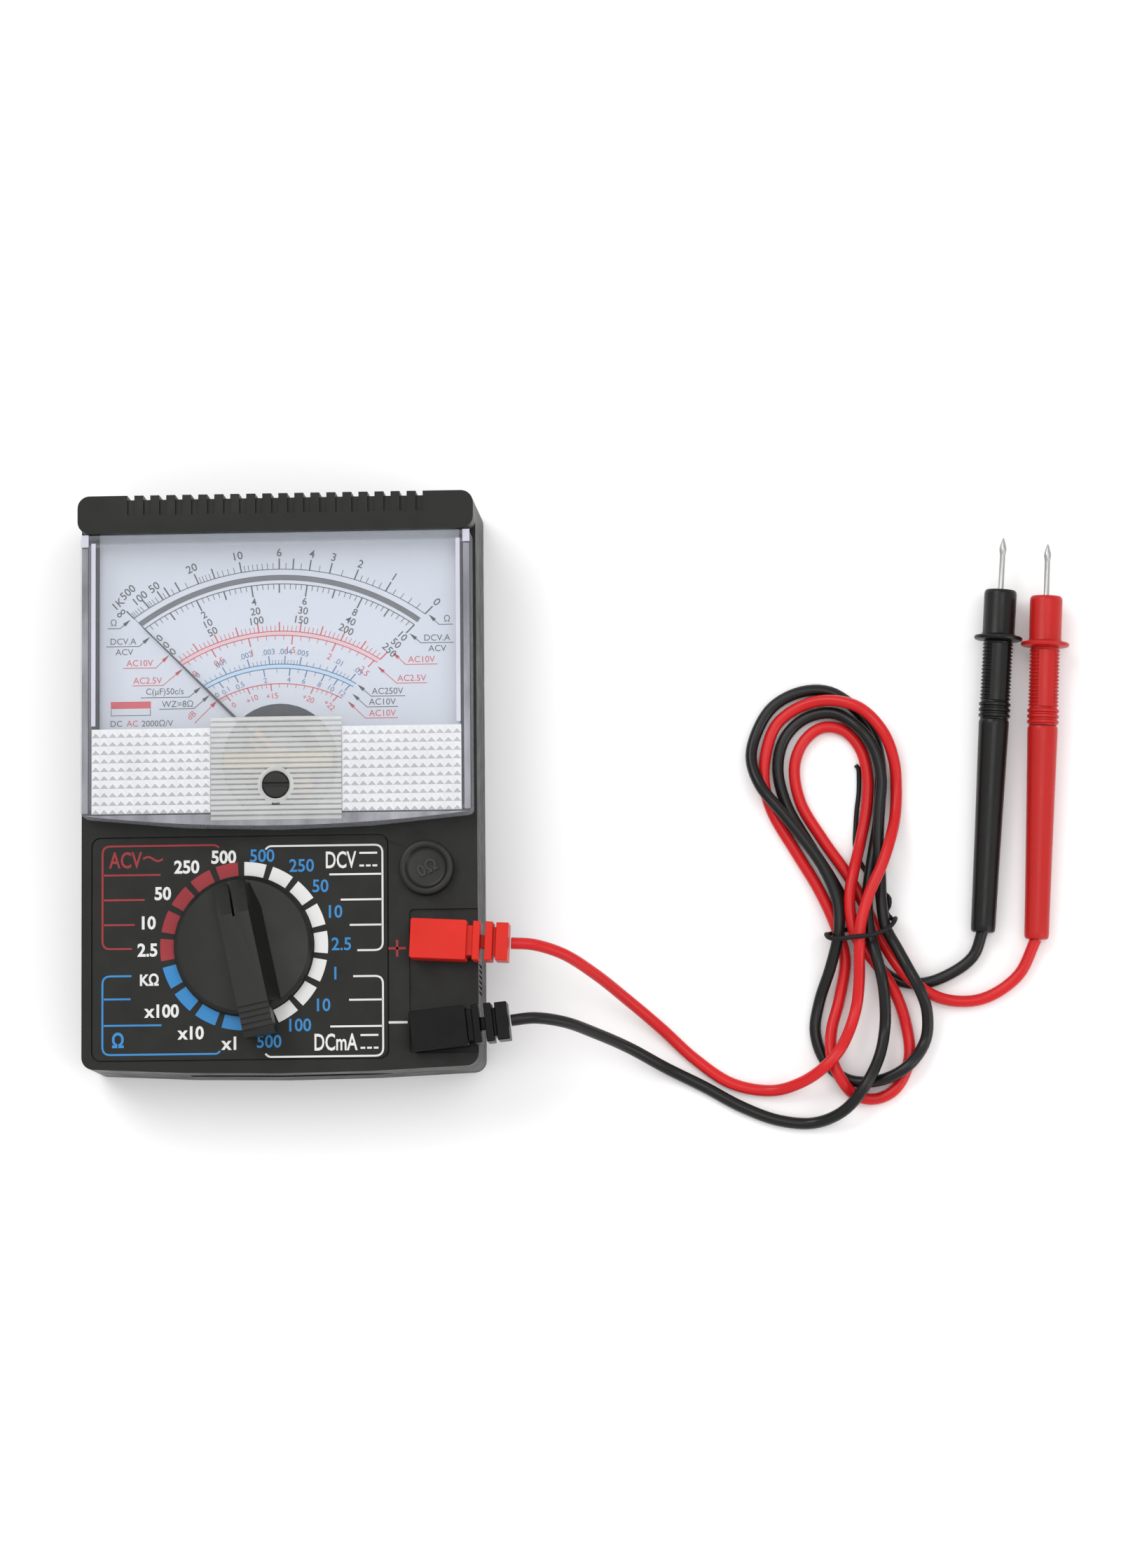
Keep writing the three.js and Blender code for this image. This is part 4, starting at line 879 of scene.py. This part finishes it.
bracket(white, [(15.7, -41.1), (22, -41.1), (22, -58.0), (-2.3, -58.0), (-3.0, -57.3)])
for x, y in ((14.8, -46.1), (10.8, -51.7)):
    white.line([(x, y), (21.9, y)], RULE_WIDTH)
for body, x, y in (
    ("500", -11.8, -15.4), ("250", -19.7, -17.4), ("50", -24.8, -23), ("10", -27.8, -29.2),
    ("2.5", -28.1, -35), ("x100", -25.1, -48), ("x10", -18.9, -52.7), ("x1", -10.8, -55),
):
    white.text(body, x, y, NUMBER_HEIGHT, weight=0.03, squeeze=0.95)
white.text("KΩ", -27.7, -41.3, 2.3, weight=0.03, squeeze=0.9)
for body, x, y in (
    ("500", -3.6, -15.2), ("250", 4.8, -17.4), ("50", 8.8, -21.8), ("10", 12, -27.3), ("2.5", 13.2, -34.2),
    ("1", 11.9, -40.4), ("10", 9.4, -47.1), ("100", 4.4, -51.3), ("500", -2.2, -54.7),
):
    azure.text(body, x, y, NUMBER_HEIGHT, weight=0.015, squeeze=0.95)
wine.text("ACV", -32.8, -15.8, 3.4, weight=0.015, squeeze=0.72)
wave = [(-29.0 + 4.2 * i / 24, -15.6 + 0.45 * math.sin(2 * math.pi * i / 24)) for i in range(25)]
wine.line(wave, RULE_WIDTH)
azure.text("Ω", -34.4, -54.1, 2.9, weight=0.03, squeeze=0.85)
for body, x, y, bar in (("DCV", 13.2, -16.3, 19.0), ("DCmA", 12.0, -55.0, 19.1)):
    white.text(body, x, y, 3.5, weight=0.015, squeeze=0.64)
    white.line([(bar - 1.9, y + 1.4), (bar + 1.9, y + 1.4)], BAR_SIGN_WIDTH)
    for k in range(3):
        white.line([(bar - 1.9 + 1.4 * k, y - 1.3), (bar - 0.9 + 1.4 * k, y - 1.3)], BAR_SIGN_WIDTH)
# Minus and plus beside the jacks.
white.line([(23.2, -51), (27.2, -51)], SIGN_WIDTH)
wine.line([(23.2, -35.3), (26.9, -35.3)], SIGN_WIDTH)
wine.line([(25.05, -33.5), (25.05, -37.1)], SIGN_WIDTH)
for colour, ink in {"white": white, "red": wine, "blue": azure}.items():
    ink.done(f"panel_print_{colour}", f"panel_{colour}", "panel_black")
# The raised 0Ω mark is a thick film in a lighter black than the knob: a painted highlight on its relief.
mark = Ink(OHM_KNOB_FLOOR)
mark.text("0Ω", OHM_KNOB.x + 0.1, OHM_KNOB.y, 2.5, 28, weight=0.02)
mark.done("ohm_knob_mark", "mark", "knob_black", "ohm_knob", 0.5)
bpy.data.objects.remove(lettering)


# ---------------------------------------------------------------- moulded window pattern
window_top = box_top("window_cover")
window_face = window_top + 0.02  # where the moulded pattern starts, clear of the pane
WINDOW_HALF, WINDOW_CORNER, WINDOW_BOW = 41.6, -7.2, 2.6


def pyramids(x0, x1, y0, y1, pitch, height):
    """A field of four-sided pyramids with a flat back; the lower face of each takes the darker material,
    painted shade.
    """
    bm = bmesh.new()
    columns, rows = round((x1 - x0) / pitch), round((y1 - y0) / pitch)
    wide, tall = (x1 - x0) / columns, (y1 - y0) / rows
    grid = []
    for j in range(rows + 1):
        y = y0 + tall * j
        grid.append([bm.verts.new((x0 + wide * i, y, window_face)) for i in range(columns + 1)])
    for j in range(rows):
        for i in range(columns):
            a, b, c, d = grid[j][i], grid[j][i + 1], grid[j + 1][i + 1], grid[j + 1][i]
            top = bm.verts.new((x0 + wide * (i + 0.5), y0 + tall * (j + 0.5), window_face + height))
            # Index 0, the lower face, takes the darker copy as painted shade; the other faces take the lit
            # copy.
            for corners, lit in (((a, b, top), 0), ((b, c, top), 1), ((c, d, top), 1), ((d, a, top), 1)):
                bm.faces.new(corners).material_index = lit
    rim = grid[0] + [row[-1] for row in grid[1:]] + grid[-1][-2::-1] + [row[0] for row in grid[-2:0:-1]]
    bm.faces.new(rim[::-1]).material_index = 1
    return bm


def ribs(x0, x1, y0, y1, pitch, height, hole, radius):
    """Level ridges across the window that stop short of the zero screw's hole; their sloping flanks take the
    darker material, painted shade.
    """
    bm = bmesh.new()
    count = round((y1 - y0) / pitch)
    step = (y1 - y0) / count
    for k in range(count):
        low, high = y0 + step * k + 0.03, y0 + step * (k + 1) - 0.03
        near = min(abs(low - hole.y), abs(high - hole.y), abs((low + high) / 2 - hole.y))
        half = math.sqrt(radius ** 2 - near ** 2) if near < radius else 0
        spans = [(x0, hole.x - half), (hole.x + half, x1)] if half else [(x0, x1)]
        for a, b in spans:
            rows = [[bm.verts.new((x, y, window_face + z)) for x in (a, b)] for y, z in (
                (low, 0), (low + 0.2, height), (high - 0.2, height), (high, 0),
            )]
            # The top of each ridge takes the lit copy; its two flanks take the painted shade.
            for n, (r, s) in enumerate(zip(rows, rows[1:])):
                bm.faces.new((r[0], r[1], s[1], s[0])).material_index = 0 if n == 1 else 1
            bm.faces.new((rows[0][0], rows[3][0], rows[3][1], rows[0][1]))
            bm.faces.new([r[0] for r in rows][::-1])
            bm.faces.new([r[1] for r in rows])
    return bm


def slab(outline, low, high):
    """A flat plate with this outline, between two heights."""
    bm = bmesh.new()
    bottom = [bm.verts.new((x, y, low)) for x, y in outline]
    top = [bm.verts.new((x, y, high)) for x, y in outline]
    bm.faces.new(top)
    bm.faces.new(bottom[::-1])
    for i in range(len(outline)):
        j = (i + 1) % len(outline)
        bm.faces.new((bottom[i], bottom[j], top[j], top[i]))
    bmesh.ops.recalc_face_normals(bm, faces=bm.faces)
    return bm


for side, (x0, x1) in (("left", (-39.2, -13.9)), ("right", (14.1, 39.4))):
    cells = pyramids(x0, x1, -6.6, 11.5, 1.81, 0.4)
    piece(f"window_prisms_{side}", cells, ["prism_painted_shade", "prism_light"], sharp=5)
screw_at = box_centre("zero_adjust_screw")
ridges = ribs(-13.8, 14.0, -8.4, 13.8, 1.1, 0.3, screw_at, 3.3)
piece("window_ribs", ridges, ["rib_light", "rib_painted_shade"], sharp=5)
collar = lathe([
    (2.95, window_top - 1.2), (3.9, window_top - 1.2), (3.9, window_top + 0.3), (3.7, window_top + 0.42),
    (3.15, window_top + 0.42), (2.95, window_top + 0.25), (2.95, window_top - 1.2),
], 48, Matrix.Translation((*screw_at, 0)))
bmesh.ops.remove_doubles(collar, verts=collar.verts, dist=0.001)
piece("window_screw_collar", collar, "rib_light")


def window_edge(x):
    """The window's bowed lower edge."""
    return WINDOW_CORNER - WINDOW_BOW * (1 - (x / WINDOW_HALF) ** 2)


def trim(name, outline, height, material):
    """A thin moulded plate on the window."""
    piece(name, slab(outline, window_face, window_top + height), material)


def strip(side, x0, x1, y0, y1):
    """A rectangle on the window's left (-1) or right (1)."""
    return [(side * x0, y0), (side * x1, y0), (side * x1, y1), (side * x0, y1)]


for name, side in (("left", -1), ("right", 1)):
    trim(f"window_wall_{name}", strip(side, 40.0, 41.3, -6.4, 50.3), 0.12, "clear_side")
    trim(f"window_bead_{name}", strip(side, 38.4, 39.3, 12.2, 51.4), 0.1, "clear_tab")
    trim(f"window_tab_{name}", strip(side, 39.9, 41.4, 50.6, 53.2), 0.25, "clear_tab")
lip = [(-40.6 + 81.2 * i / 24, -6.9) for i in range(25)]
lip += [(x, window_edge(x) + 0.35) for x in (40.6 - 81.2 * i / 24 for i in range(25))]
trim("window_lip", lip, 0.1, "clear_side")

# The movement's black cover fills the dial's round cut-out above the ribs.
COVER_LOW, COVER_RADIUS = 14.9, 12.2
reach = math.sqrt(COVER_RADIUS ** 2 - (COVER_LOW - PIVOT.y) ** 2)
sweep_angle = math.atan2(reach, COVER_LOW - PIVOT.y)
dome = []
for i in range(25):
    turn = sweep_angle * (1 - i / 12)
    dome.append((COVER_RADIUS * math.sin(turn), PIVOT.y + COVER_RADIUS * math.cos(turn)))
piece("movement_cover", slab(dome, dial_top - 0.5, dial_top + 0.15), "cover")
shelf = [(-8.4, 14.1), (8.4, 14.1), (8.4, 14.8), (-8.4, 14.8)]
piece("movement_shelf", slab(shelf, dial_top - 0.5, dial_top + 0.1), "iron")


# ---------------------------------------------------------------- cords have their placing baked into their meshes
for colour, (lead, path, length) in lead_paths.items():
    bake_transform(lead)

# ---------------------------------------------------------------- floor
floor_mesh = bpy.data.meshes.new("floor")
FLOOR_HALF, FLOOR_LEVEL = 4, -5e-5  # metres
corners = [(FLOOR_HALF * x, FLOOR_HALF * y, FLOOR_LEVEL) for x, y in ((-1, -1), (1, -1), (1, 1), (-1, 1))]
floor_mesh.from_pydata(corners, [], [(0, 1, 2, 3)])
paper = surface("floor", (0.93, 0.93, 0.93), 0.7, vary=0.005, blotch=3, grain=300, bump=0.02)
floor_mesh.materials.append(paper)
floor = bpy.data.objects.new("floor", floor_mesh)
scene.collection.objects.link(floor)
